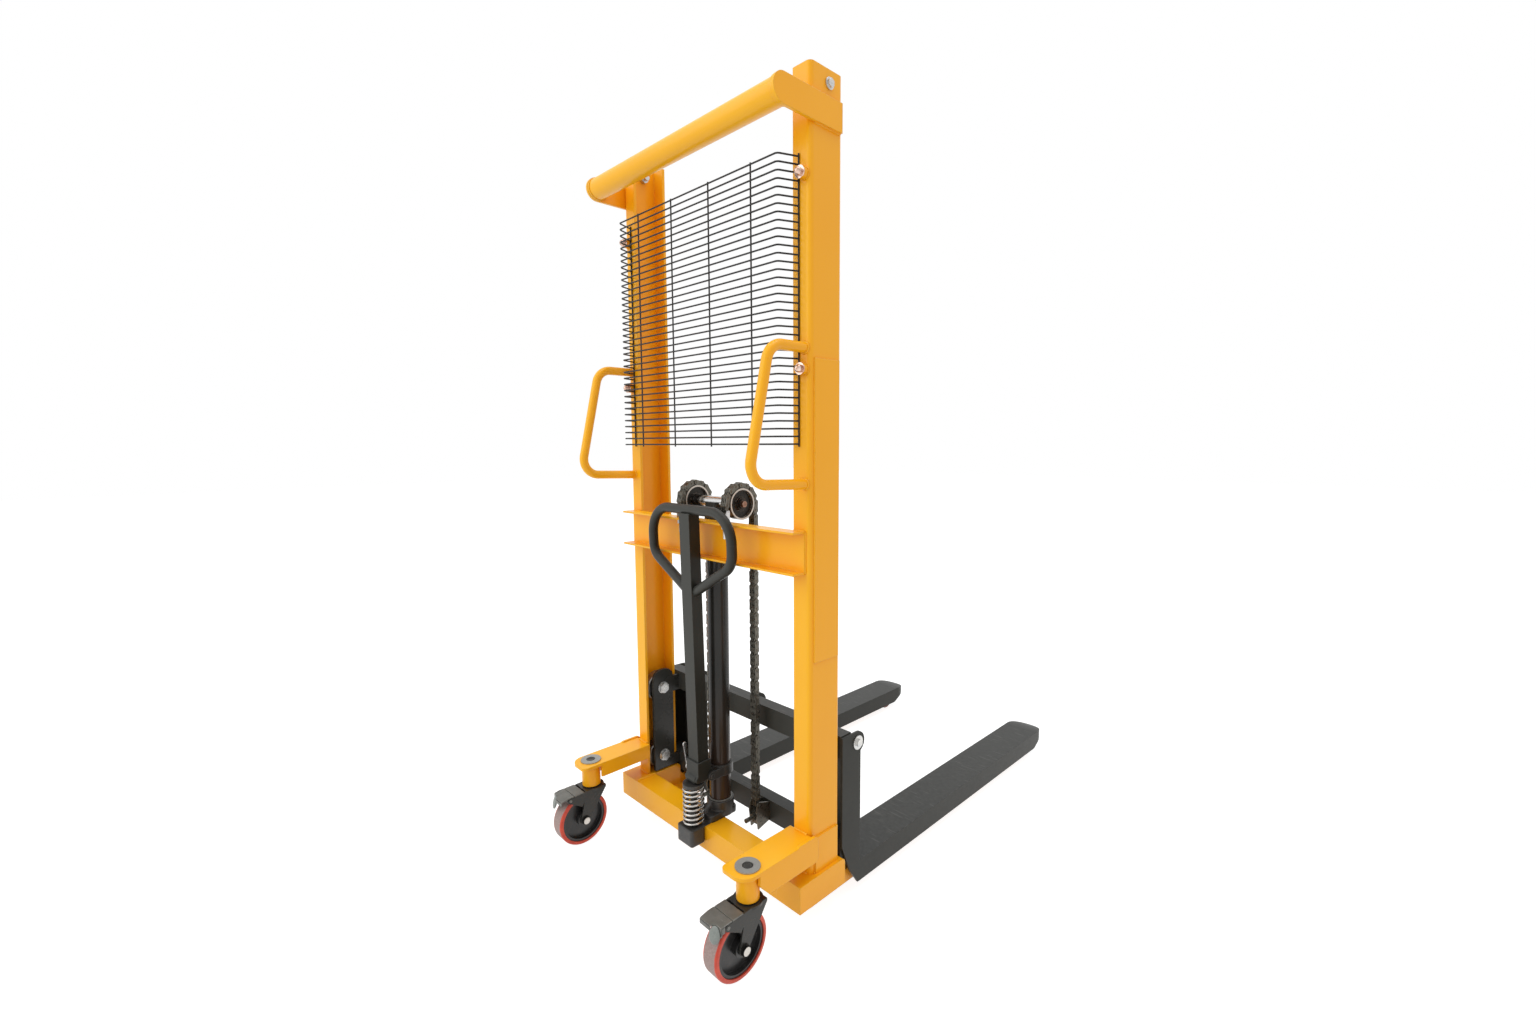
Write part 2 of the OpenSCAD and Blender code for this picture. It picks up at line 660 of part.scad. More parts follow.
// Pump casting: saddle on the base beam with a bolted lug on the left, nose behind it, pump
// barrel and the cup that the cylinder stands in
module pump_body() color(black_paint) in_frame() difference() {
    union() {
        plate_z(foot_top, foot_top + 10) {
            translate([-lug_x, spring_front]) square([lug_x, lug_y + lug_r - spring_front]);
            translate([-lug_x, lug_y]) circle(lug_r);
        }
        plate_z(foot_top, cyl_floor - 8) round_rect(-saddle_half, saddle_half, spring_front,
            ram_y + saddle_half - 2, 14);
        rod_z(0, ram_y, foot_top, cup_top, cyl_r + 8.5);
        plate_z(base_z0 + 24, seat_z) round_rect(-saddle_half + 3, saddle_half - 3,
            pump_y - spring_r - 7, -foot_rear, 8);
        plate_z(foot_top, seat_z) round_rect(-saddle_half + 3, saddle_half - 3,
            pump_y - spring_r - 7, -foot_rear + 24, 8);
        rod_z(0, pump_y, seat_z - 1, barrel_top, barrel_r);
        plate_x(-7, 7) polygon([[-foot_rear + 22, cyl_floor - 9], [ram_y - cyl_r - 5, cyl_floor + 14],
            [ram_y, cyl_floor + 14], [ram_y, cyl_floor - 9]]);
    }
    rod_z(0, ram_y, cyl_floor, cup_top + 1, cyl_r);
    rod_z(0, pump_y, base_z0 + 34, barrel_top + 1, plunger_r + run_fit);
    rod_z(-lug_x, lug_y, foot_top - 1, foot_top + 11, 5);
}

valve_y = pump_y - 4;
valve_z = base_z0 + 44;

// Foot bolt of the pump casting, and its lowering valve screw
module pump_screws() color(zinc) in_frame() {
    rod_z(-lug_x, lug_y, foot_top, foot_top + 10, 5);
    rod_z(-lug_x, lug_y, foot_top + 10, foot_top + 12, 9.5);
    hex_z(-lug_x, lug_y, foot_top + 12, foot_top + 18, 9);
    rod_x(-saddle_half - 4, -saddle_half + 3, valve_y, valve_z, 9);
    hex_x(-saddle_half - 12, -saddle_half - 4, valve_y, valve_z, 7);
}

// Cylinder tube
module cylinder_tube() color(black_paint) in_frame() difference() {
    rod_z(0, ram_y, cyl_floor, cyl_top, cyl_r);
    rod_z(0, ram_y, cyl_floor - 1, cyl_top + 1, cyl_r - cyl_wall);
}

gland_plug = 10;

// Gland screwed into the cylinder's top
module cylinder_gland() color(black_paint) in_frame() difference() {
    union() {
        rod_z(0, ram_y, cyl_top - gland_plug, cyl_top, cyl_r - cyl_wall);
        rod_z(0, ram_y, cyl_top, gland_top - 2, min(cyl_r, ram_y - 1) );
        rod_z(0, ram_y, gland_top - 2, gland_top, cyl_r - 3);
    }
    rod_z(0, ram_y, cyl_top - gland_plug - 1, gland_top + 1, ram_r + run_fit);
}

piston_t = 12;
head_gap = 2;
head_z0 = gland_top + head_gap;

// Ram with its piston
module ram() color([0.80, 0.81, 0.82]) in_frame() {
    rod_z(0, ram_y, cyl_floor + 2, cyl_floor + 2 + piston_t, cyl_r - cyl_wall - run_fit);
    rod_z(0, ram_y, cyl_floor + 2 + piston_t, head_z0 + 14, ram_r);
}

head_half_x = 22;
head_half_y = 21;

// Crosshead on the ram: a block whose open top cradles the axle's sleeve
module crosshead() color(black_paint) in_frame() difference() {
    block(-head_half_x, head_half_x, ram_y - head_half_y, ram_y + head_half_y, head_z0, pulley_z);
    rod_z(0, ram_y, head_z0 - 1, head_z0 + 14, ram_r);
    rod_x(-head_half_x - 1, head_half_x + 1, ram_y, pulley_z, sleeve_r);
}

pulley_x0 = chain_x - pulley_half;
pulley_x1 = chain_x + pulley_half;

// Axle of the two chain pulleys with the sleeve between them and a retaining ring for each
module pulley_axle() color(zinc) in_frame() {
    rod_x(-pulley_x1 - 3, pulley_x1 + 3, ram_y, pulley_z, axle_r);
    rod_x(-pulley_x1 - 8, pulley_x1 + 8, ram_y, pulley_z, 8);
    rod_x(-pulley_x0 + side_gap, pulley_x0 - side_gap, ram_y, pulley_z, sleeve_r);
    both() rod_x(pulley_x1 + side_gap - 5, pulley_x1 + side_gap - 2.5, ram_y, pulley_z, axle_r + 4);
}

// Right chain pulley: rim, recessed sides and hub
module pulley() color(oily_steel) in_frame() translate([chain_x, ram_y, pulley_z])
    rotate([0, 90, 0]) rotate_extrude() difference() {
        translate([axle_r + run_fit, -pulley_half]) square([sheave_r - axle_r - run_fit, 2 * pulley_half]);
        for (side = [0, 1]) mirror([0, side]) {
            translate([axle_r + 6, pulley_half - 8.5]) square([sheave_r - axle_r - 10.5, 9.5]);
            translate([axle_r - 1, pulley_half - 5.5]) square([8, 6.5]);
        }
    }

link_waist = 1.5;

// Flat outline of a chain plate along X, between two joints
module link_outline(pitch) {
    circle(link_plate_r);
    translate([pitch, 0]) circle(link_plate_r);
    translate([0, -link_plate_r + link_waist]) square([pitch, 2 * (link_plate_r - link_waist)]);
}

// Chain plate in one of the slots side by side across the chain
module leaf(slot) plate_x(slot * leaf_step - link_plate_t / 2, slot * leaf_step + link_plate_t / 2)
    children();

// Leaf chain link between joints at the origin and at one pitch along Y, chain width along X
module chain_link(pinned) {
    if (pinned) {
        for (slot = outer_slots) leaf(slot) link_outline(chain_pitch);
        for (y = [0, chain_pitch])
            rod_x(-outer_half - 1, outer_half + 1, y, 0, pin_r, $fn = 24);
    } else for (slot = inner_slots) leaf(slot) difference() {
        link_outline(chain_pitch);
        for (y = [0, chain_pitch]) translate([y, 0]) circle(pin_r + pin_gap, $fn = 24);
    }
}

// Straight strand hanging down from a joint; the first link is pinned or not
module chain_strand(y, z, links, first_pinned)
    for (i = [0:links - 1])
        translate([chain_x, y, z - i * chain_pitch]) rotate([-90, 0, 0])
            chain_link(i % 2 == (first_pinned ? 0 : 1));

// Chain strands from the pulleys down to the carriage
module chain_front() color(oily_steel) in_frame() both()
    chain_strand(front_chain_y, pulley_z, front_links, true);

// Chain strands from the pulleys down to the studs on the cross beam
module chain_rear() color(oily_steel) in_frame() both()
    chain_strand(rear_chain_y, pulley_z, rear_links, false);

// Chain links that lie over the pulleys
module chain_wraps() color(oily_steel) in_frame() both() for (i = [0:wrap_links - 1])
    translate([chain_x, ram_y, pulley_z]) rotate([i * wrap_step, 0, 0])
        translate([0, chain_r, 0]) rotate([90 + wrap_step / 2, 0, 0]) chain_link(i % 2 == 1);

clevis_in = inner_half + 0.4;
clevis_out = clevis_in + 3.6;

// Studs with clevis heads that hold the rear chain ends on the cross beam
module chain_studs() color(zinc) in_frame() both() {
    beam_top = mid_beam_z + mid_beam_h;
    for (side = [-1, 1])
        plate_x(chain_x + (side > 0 ? clevis_in : -clevis_out),
            chain_x + (side > 0 ? clevis_out : -clevis_in)) {
            translate([rear_chain_y - 6, beam_top]) square([12, rear_chain_z - beam_top]);
            translate([rear_chain_y, rear_chain_z]) circle(6);
        }
    block(chain_x - clevis_out, chain_x + clevis_out, rear_chain_y - 6, rear_chain_y + 6, beam_top,
        beam_top + 4);
    rod_x(chain_x - clevis_out, chain_x + clevis_out, rear_chain_y, rear_chain_z, pin_r, $fn = 24);
    rod_z(chain_x, rear_chain_y, beam_top - 42, beam_top, stud_r);
    hex_z(chain_x, rear_chain_y, beam_top - mid_beam_t - 12, beam_top - mid_beam_t, stud_r + 4);
}

pad_x = fork_mid_x;

// Upper bar of the carriage with the hanger shaft's middle lug
module upper_bar() color(black_paint) in_frame() difference() {
    union() {
        block(-bar_half, bar_half, bar_y, bar_front, upper_bar_top - upper_bar_h, upper_bar_top);
        plate_x(-6, 6) {
            translate([bar_front, hanger_z - 24]) square([hanger_y - bar_front, 52]);
            translate([hanger_y, hanger_z]) circle(28);
        }
    }
    rod_x(-7, 7, hanger_y, hanger_z, hanger_r);
}

// Lower bar of the carriage with the pads that the fork shanks lean on
module lower_bar() color(black_paint) in_frame() {
    block(-bar_half, bar_half, bar_y, bar_front, lower_bar_z, lower_bar_z + lower_bar_h);
    both() block(pad_x - 40, pad_x + 40, bar_front, shank_y - fork_t, lower_bar_z + 8,
        lower_bar_z + lower_bar_h - 8);
}

plate_y0 = roller_y - 34;
plate_y1 = roller_y + 38;
plate_z0 = foot_top + 6;
plate_top = upper_roller_z + 22;

// Right roller plate with the ears that join it to both carriage bars
module roller_plate() color(black_paint) in_frame() difference() {
    plate_x(plate_in, plate_out) {
        round_rect(plate_y0, plate_y1, plate_z0, plate_top + 36, 30);
        translate([plate_y0, plate_z0]) square([plate_y1 - plate_y0, 60]);
        translate([roller_y, upper_bar_top - upper_bar_h])
            square([bar_y - roller_y, upper_bar_h - 8]);
        translate([roller_y, plate_z0]) square([bar_y - roller_y, lower_bar_z + lower_bar_h - plate_z0]);
    }
    for (z = [upper_roller_z, lower_roller_z])
        rod_x(plate_in - 1, plate_out + 1, roller_y, z, roller_axle_r);
}

// Axles of the mast rollers with their nuts
module mast_roller_axles() color(zinc) in_frame() both()
    for (z = [upper_roller_z, lower_roller_z]) {
        rod_x(plate_in - 12, roller_x1 + 3, roller_y, z, roller_axle_r);
        rod_x(plate_out, roller_x0 - side_gap, roller_y, z, roller_axle_r + 5);
        rod_x(roller_x1 + side_gap, roller_x1 + 3, roller_y, z, roller_axle_r + 4);
        rod_x(plate_in - 2.5, plate_in, roller_y, z, roller_axle_r + 6);
        hex_x(plate_in - 10, plate_in - 2.5, roller_y, z, roller_axle_r + 5);
    }

// Mast roller on the right side at one height
module mast_roller(z) color([0.45, 0.45, 0.46]) in_frame()
    translate([(roller_x0 + roller_x1) / 2, roller_y, z]) rotate([0, 90, 0]) rotate_extrude() {
        half = (roller_x1 - roller_x0) / 2;
        polygon([[roller_axle_r + run_fit, -half], [mast_roller_r - 2, -half],
            [mast_roller_r, -half + 2], [mast_roller_r, half - 2], [mast_roller_r - 2, half],
            [roller_axle_r + run_fit, half]]);
    }

hanger_end_bore = 30;

// Shaft that the forks hang on
module hanger_shaft() color([0.55, 0.55, 0.56]) in_frame() difference() {
    rod_x(-fork_out_x, fork_out_x, hanger_y, hanger_z, hanger_r);
    both() rod_x(fork_out_x - hanger_end_bore, fork_out_x + 1, hanger_y, hanger_z, 6);
}

// Bolts and washers in the shaft's ends
module hanger_bolts() color(zinc) in_frame() both() {
    rod_x(fork_out_x - hanger_end_bore + 4, fork_out_x, hanger_y, hanger_z, 6);
    rod_x(fork_out_x, fork_out_x + 3, hanger_y, hanger_z, hanger_r + 4);
    hex_x(fork_out_x + 3, fork_out_x + 9, hanger_y, hanger_z, 11);
}

tip_top_z = fork_top_z - 20;
tip_low_z = fork_z0 + 24;
tip_run = 90;

// Side view of a fork blade, shrunk by a wall
module blade_side(wall) polygon([[shank_y - fork_t - (wall > 0 ? 1 : 0), fork_z0 - (wall > 0 ? 10 : 0)],
    [shank_y - fork_t - (wall > 0 ? 1 : 0), fork_top_z - wall], [fork_tip_y - tip_run, fork_top_z - wall],
    [fork_tip_y - wall, tip_top_z - wall], [fork_tip_y - wall, wall > 0 ? fork_z0 - 10 : tip_low_z],
    [fork_tip_y - tip_run, fork_z0 - (wall > 0 ? 10 : 0)]]);

// Top view of a fork blade, shrunk by a wall
module blade_plan(wall) {
    tip_r = 38;
    round_rect(fork_in_x + wall, fork_out_x - wall, fork_tip_y - 120, fork_tip_y - wall,
        tip_r - wall);
    translate([fork_in_x + wall, shank_y - fork_t + (wall > 0 ? -1 : 0)])
        square([fork_w - 2 * wall, fork_tip_y - 60 - shank_y + fork_t]);
}

// Side view of the shank's outer plate with the eye for the hanger shaft
module shank_outline() {
    polygon([[bar_y, fork_z0 + 122], [bar_y, shank_top_z], [hanger_y, shank_top_z],
        [shank_y, hanger_z], [shank_y, fork_z0], [shank_y - 8, fork_z0], [bar_y + 30, fork_z0 + 50]]);
    translate([hanger_y, hanger_z]) circle(28);
}

// Right fork: channel blade, channel shank and the eyes that hang on the shaft
module fork() color(black_paint) in_frame() difference() {
    union() {
        difference() {
            intersection() {
                plate_x(fork_in_x, fork_out_x) blade_side(0);
                plate_z(fork_z0, fork_top_z) blade_plan(0);
            }
            intersection() {
                plate_x(fork_in_x, fork_out_x) blade_side(fork_t);
                plate_z(fork_z0 - 10, fork_top_z) blade_plan(fork_t);
            }
        }
        plate_x(fork_out_x - fork_t, fork_out_x) shank_outline();
        plate_x(fork_in_x, fork_in_x + fork_t) intersection() {
            shank_outline();
            translate([bar_front + 1, 0]) square([100, shank_top_z + 20]);
        }
        block(fork_in_x, fork_out_x, shank_y - fork_t, shank_y, fork_top_z - fork_t,
            hanger_z - hanger_r - 12);
    }
    rod_x(fork_in_x - 1, fork_out_x + 1, hanger_y, hanger_z, hanger_r);
}

anchor_in = outer_half + 1.3;
anchor_out = anchor_in + 3.7;
anchor_block_z = front_chain_z - link_plate_r - 49.3;

// Clevises on the lower bar that hold the front chain ends, each with its tension bolt
module chain_anchors() color(oily_steel) in_frame() both() {
    for (side = [-1, 1])
        plate_x(chain_x + (side > 0 ? anchor_in : -anchor_out),
            chain_x + (side > 0 ? anchor_out : -anchor_in)) {
            polygon([[bar_y, anchor_block_z + 52], [bar_y, anchor_block_z],
                [front_chain_y - 5, anchor_block_z - 12], [front_chain_y - 12, front_chain_z - 20],
                [front_chain_y - 8, front_chain_z], [front_chain_y, front_chain_z + 8]]);
            translate([front_chain_y, front_chain_z]) circle(8);
        }
    rod_x(chain_x - anchor_out - 2, chain_x + anchor_out + 2, front_chain_y, front_chain_z, pin_r,
        $fn = 24);
    block(chain_x - anchor_in, chain_x + anchor_in, front_chain_y - 4, front_chain_y + 16,
        anchor_block_z, anchor_block_z + 30);
    rod_y(chain_x, front_chain_y - 38, front_chain_y - 4, anchor_block_z + 20, 6);
    translate([chain_x, front_chain_y - 4, anchor_block_z + 20]) rotate([90, 0, 0])
        cylinder(h = 9, r = 10, $fn = 6);
}

// Lugs on a collar round the cylinder, and the pin that the lever turns on
module lever_pin() color(black_paint) in_frame() {
    difference() {
        union() {
            rod_z(0, ram_y, pivot_z - 14, pivot_z + 14, cyl_r + 7);
            both() plate_x(socket_out + 1.4, socket_out + 8.4) {
                translate([pivot_y, pivot_z - 12]) square([ram_y - pivot_y, 24]);
                translate([pivot_y, pivot_z]) circle(12);
            }
        }
        rod_z(0, ram_y, pivot_z - 15, pivot_z + 15, cyl_r);
    }
    rod_x(-socket_out - 10, socket_out + 10, pivot_y, pivot_z, 6);
}

// Moves pieces drawn round the lever's pivot to their place in the leaning lever
module at_pivot() translate([0, pivot_y, pivot_z]) rotate([lever_lean, 0, 0]) children();

tube_y0 = -20 - lever_d / 2;
tube_y1 = tube_y0 + lever_d;
tube_z0 = 14;
socket_top = 48;
loop_weld_z = 516;
release_y = pusher_y + 6;
release_z = 22;

// Socket of the lever: two side plates, front and rear walls, and the pusher over the plunger
module lever_socket() color(black_paint) in_frame() at_pivot() difference() {
    union() {
        both() plate_x(socket_in, socket_out) {
            polygon([[pusher_y - 9, 0], [tube_y0 - 5, 12], [tube_y0 - 5, socket_top],
                [tube_y1 + 5, socket_top], [tube_y1 + 5, 24], [11, 4], [9, -8], [pusher_y, -9]]);
            circle(12);
            translate([pusher_y, 0]) circle(9);
        }
        block(-socket_in, socket_in, tube_y0 - 5, tube_y0 - 0.1, tube_z0, socket_top);
        block(-socket_in, socket_in, tube_y1 + 0.1, tube_y1 + 5, 24, socket_top);
        rod_x(-socket_in, socket_in, pusher_y, 0, 6);
        rod_x(-20, 20, pusher_y, 0, pusher_r);
    }
    rod_x(-socket_out - 1, socket_out + 1, 0, 0, 6 + run_fit);
    rod_x(-socket_out - 1, -socket_in + 1, release_y, release_z, 3 + run_fit);
}

// Square lever tube, open below, with its hand loop
module lever_tube() color(black_paint) in_frame() at_pivot() {
    top_z = tube_z0 + lever_len;
    difference() {
        block(-lever_w / 2, lever_w / 2, tube_y0, tube_y1, tube_z0, top_z);
        block(-lever_w / 2 + 4, lever_w / 2 - 4, tube_y0 + 4, tube_y1 - 4, tube_z0 - 1, top_z - 8);
    }
    side = (loop_w - loop_d) / 2;
    loop_z = top_z + loop_d / 2 - 4;
    knee = loop_weld_z + (side - lever_w / 2) * tan(30);
    start = [lever_w / 2 - 8, loop_weld_z - 8 * tan(30)];
    translate([0, (tube_y0 + tube_y1) / 2, 0]) rotate([90, 0, 0])
        bent_tube([start, [side, knee], [side, loop_z], [-side, loop_z], [-side, knee],
            [-start.x, start.y]], [50, 76, 76, 50], loop_d / 2);
}

// Release lever on the socket's left side
module release_lever() color(zinc) in_frame() at_pivot() {
    rod_x(-socket_out - 5, -socket_in, release_y, release_z, 3);
    plate_x(-socket_out - 4, -socket_out - side_gap) translate([release_y, release_z]) {
        circle(8);
        polygon([[-5, 0], [-14, 64], [-4, 66], [6, 0]]);
        translate([-9, 65]) circle(6);
    }
}

// Pump plunger with its spring cap
module pump_plunger() color(zinc) in_frame() {
    rod_z(0, pump_y, base_z0 + 72, cap_z0 + 1, plunger_r);
    rod_z(0, pump_y, cap_z0, cap_top, spring_r + spring_wire_r - 1);
}

function spring_point(t, z0, z1) =
    let (a = 360 * spring_turns * t)
    [spring_r * cos(a), spring_r * sin(a), z0 + (z1 - z0) * t];

tail = 2 * spring_wire_r;
spring_steps = ceil(spring_turns * 8);
spring_path = concat(
    [[spring_r, 0, seat_z]],
    [for (i = [0:spring_steps]) spring_point(i / spring_steps, seat_z + tail, cap_z0 - tail)],
    [let (e = spring_point(1, 0, 0)) [e.x, e.y, cap_z0]]);

function path_dir(p, i) =
    i == 0 || i == len(p) - 1 ? [0, 0, 1]
    : (p[i + 1] - p[i - 1]) / norm(p[i + 1] - p[i - 1]);

// Ring of wire round one point of the spring's path, six sides
function spring_ring(p, i) =
    let (d = path_dir(p, i), out = [p[i].x, p[i].y, 0] / norm([p[i].x, p[i].y, 0]),
        up = cross(d, out), lift = up / norm(up))
    [for (k = [0:5]) p[i] + spring_wire_r * (cos(60 * k) * out + sin(60 * k) * lift)];

// Least gap between turns of the spring, measured on its points
spring_gap = min([for (i = [1:spring_steps - 8], j = [i + 7:1:min(i + 9, spring_steps)])
    norm(spring_path[i] - spring_path[j]) - 2 * spring_wire_r]);
echo(spring_gap = spring_gap);

// Compression spring round the pump barrel: one unbroken wire
module pump_spring() color([0.85, 0.86, 0.88]) in_frame() translate([0, pump_y, 0]) {
    rings = len(spring_path);
    points = [for (i = [0:rings - 1]) each spring_ring(spring_path, i)];
    sides = [for (i = [0:rings - 2], k = [0:5])
        let (a = 6 * i + k, b = 6 * i + (k + 1) % 6) each [[a, b, b + 6], [a, b + 6, a + 6]]];
    cap0 = [for (k = [1:4]) [0, k + 1, k]];
    last = 6 * (rings - 1);
    cap1 = [for (k = [1:4]) [last, last + k, last + k + 1]];
    polyhedron(points, concat([for (f = sides) [f[2], f[1], f[0]]], [for (f = cap0) [f[2], f[1], f[0]]],
        [for (f = cap1) [f[2], f[1], f[0]]]));
}

left() mast();  // mast_left
mast();  // mast_right
mid_beam();
grab_bar();
side_handles();
mesh_guard();
guard_standoffs();
guard_nuts();
stop_bolts();
base_beam();
left() base_leg();  // base_leg_left
base_leg();  // base_leg_right
caster_arms();
kingpin_bolts();
load_roller_axles();
pump_body();
pump_screws();
cylinder_tube();
cylinder_gland();
lever_pin();
chain_studs();
chain_rear();
upper_bar();
lower_bar();
left() roller_plate();  // roller_plate_left
roller_plate();  // roller_plate_right
mast_roller_axles();
hanger_shaft();
hanger_bolts();
left() fork();  // fork_left
fork();  // fork_right
chain_anchors();
chain_front();
left() mast_roller(upper_roller_z);  // mast_roller_upper_left
mast_roller(upper_roller_z);  // mast_roller_upper_right
left() mast_roller(lower_roller_z);  // mast_roller_lower_left
mast_roller(lower_roller_z);  // mast_roller_lower_right
ram();
crosshead();
pulley_axle();
chain_wraps();
left() pulley();  // pulley_left
pulley();  // pulley_right
left() load_roller();  // load_roller_left
load_roller();  // load_roller_right
left() caster_fork();  // caster_fork_left
caster_fork();  // caster_fork_right
left() caster_tyre();  // caster_tyre_left
caster_tyre();  // caster_tyre_right
left() caster_hub();  // caster_hub_left
caster_hub();  // caster_hub_right
left() caster_axle();  // caster_axle_left
caster_axle();  // caster_axle_right
left() brake_pedal();  // brake_pedal_left
brake_pedal();  // brake_pedal_right
lever_tube();
lever_socket();
release_lever();
pump_plunger();
pump_spring();
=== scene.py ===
"""Hand pallet stacker: finishes, chains, spring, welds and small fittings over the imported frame."""

import json
import math

import bmesh
import bpy
from mathutils import Matrix, Vector


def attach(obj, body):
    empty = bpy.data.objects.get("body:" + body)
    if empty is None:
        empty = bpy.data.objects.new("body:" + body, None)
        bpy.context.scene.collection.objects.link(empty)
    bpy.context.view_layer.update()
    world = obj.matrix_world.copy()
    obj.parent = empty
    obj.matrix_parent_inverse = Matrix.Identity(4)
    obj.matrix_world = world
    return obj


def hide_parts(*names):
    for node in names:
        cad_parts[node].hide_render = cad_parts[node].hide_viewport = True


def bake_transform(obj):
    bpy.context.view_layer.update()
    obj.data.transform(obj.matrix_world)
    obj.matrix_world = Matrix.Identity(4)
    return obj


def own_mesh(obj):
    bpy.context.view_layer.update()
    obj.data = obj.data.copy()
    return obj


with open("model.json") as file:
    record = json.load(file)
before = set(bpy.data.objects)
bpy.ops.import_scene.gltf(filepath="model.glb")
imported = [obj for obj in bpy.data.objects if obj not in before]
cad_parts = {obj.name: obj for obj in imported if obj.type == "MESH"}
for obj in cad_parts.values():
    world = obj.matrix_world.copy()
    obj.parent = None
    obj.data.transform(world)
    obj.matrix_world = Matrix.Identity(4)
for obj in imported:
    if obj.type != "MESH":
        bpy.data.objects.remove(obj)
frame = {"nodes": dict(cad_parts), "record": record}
nodes = frame["nodes"]
slot_of = {part["node"]: part["material_slot"] for part in frame["record"]["subparts"]}
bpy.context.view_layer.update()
scene = bpy.context.scene

# The uprights' rear face, in metres from the origin. Millimetres below count Y from that face
MAST_Y = -0.512
RAM_Y = 30
PULLEY_Z = 1011
PUMP_Y = -64
SPRING_LOW = 137.0
CASTER_X = 347
KINGPIN_Y = -179
WHEEL_Y = -217
WHEEL_Z = 75
PEDAL_Y = -262
PEDAL_Z = 150


def at(x, y, z):
    """Millimetres from the uprights' rear face, as a point of the part's frame in metres."""
    return Vector((x / 1000, y / 1000 + MAST_Y, z / 1000))


# Camera

PHOTO_WIDE = 1536
PHOTO_HIGH = 1024
FOCAL_PIXELS = 653.79
OPTICAL_CENTRE = (777.2, 507.7)
SENSOR_WIDE = 36
CAMERA_LOOK = (-0.70800, 0.69925, -0.09890)
CAMERA_ROLL = 0.00446


def set_camera():
    """The photograph's viewpoint: a wide lens close behind the machine's right side."""
    data = bpy.data.cameras.new("camera")
    camera = bpy.data.objects.new("camera", data)
    scene.collection.objects.link(camera)
    data.sensor_width = SENSOR_WIDE
    data.lens = FOCAL_PIXELS / PHOTO_WIDE * SENSOR_WIDE
    data.shift_x = -(OPTICAL_CENTRE[0] - PHOTO_WIDE / 2) / PHOTO_WIDE
    data.shift_y = -(PHOTO_HIGH / 2 - OPTICAL_CENTRE[1]) / PHOTO_WIDE
    data.clip_start = 0.05
    data.clip_end = 60
    look = Vector(CAMERA_LOOK).normalized()
    side = look.cross(Vector((0, 0, 1))).normalized()
    up = side.cross(look)
    roll = Matrix.Rotation(CAMERA_ROLL, 3, look)
    turn = Matrix((roll @ side, roll @ up, -look)).transposed()
    camera.matrix_world = Matrix.Translation(at(1366.0, -1088.4, 1168.3)) @ turn.to_4x4()
    scene.camera = camera


# Node trees

# A noise stays within this range and swings about its middle
NOISE_LOW = 0.3
NOISE_HIGH = 0.7
NOISE_MIDDLE = 0.5
# How fast a lean off the plain normal counts as an edge
EDGE_GAIN = 6.0


class Level:
    """A number in a node tree. Arithmetic on it adds the Math nodes it needs."""

    def __init__(self, tree, socket):
        self.tree = tree
        self.socket = socket

    def math(self, operation, *values, clamp=False):
        """A Math node on this number and the values after it."""
        node = self.tree.nodes.new("ShaderNodeMath")
        node.operation = operation
        node.use_clamp = clamp
        for slot, value in zip(node.inputs, values):
            if isinstance(value, Level):
                self.tree.links.new(value.socket, slot)
            else:
                slot.default_value = value
        return Level(self.tree, node.outputs[0])

    def __add__(self, other):
        return self.math("ADD", self, other)

    def __radd__(self, other):
        return self.math("ADD", other, self)

    def __sub__(self, other):
        return self.math("SUBTRACT", self, other)

    def __rsub__(self, other):
        return self.math("SUBTRACT", other, self)

    def __mul__(self, other):
        return self.math("MULTIPLY", self, other)

    def __rmul__(self, other):
        return self.math("MULTIPLY", other, self)

    def __pow__(self, other):
        return self.math("POWER", self, other)

    def above(self, low, high):
        """0 below low, 1 above high and a straight rise between them."""
        return self.math("MULTIPLY", self - low, 1 / (high - low), clamp=True)

    def below(self, low, high):
        """1 below low and 0 above high."""
        return 1 - self.above(low, high)

    def size(self):
        """The value without its sign."""
        return self.math("ABSOLUTE", self)

    def most(self, other):
        """The greater of two values."""
        return self.math("MAXIMUM", self, other)

    def swing(self, amount):
        """A noise as a swing to both sides of nothing."""
        return (self - NOISE_MIDDLE) * amount


def rgba(color):
    """A colour's three values with an alpha; a socket stays as it is."""
    return (*color, 1) if isinstance(color, tuple) else color


class Tree:
    """A node tree being put together."""

    def __init__(self, tree):
        self.tree = tree
        tree.nodes.clear()

    def node(self, kind, settings=None, sockets=None):
        """A node of one type: its settings first, then the values or links of its sockets."""
        node = self.tree.nodes.new(kind)
        for key, value in (settings or {}).items():
            setattr(node, key, value)
        for key, value in (sockets or {}).items():
            slot = node.inputs[key]
            if isinstance(value, Level):
                value = value.socket
            if isinstance(value, bpy.types.NodeSocket):
                self.tree.links.new(value, slot)
            else:
                slot.default_value = value
        return node

    def level(self, kind, output=0, settings=None, sockets=None):
        """A node's output as a number."""
        return Level(self.tree, self.node(kind, settings, sockets).outputs[output])


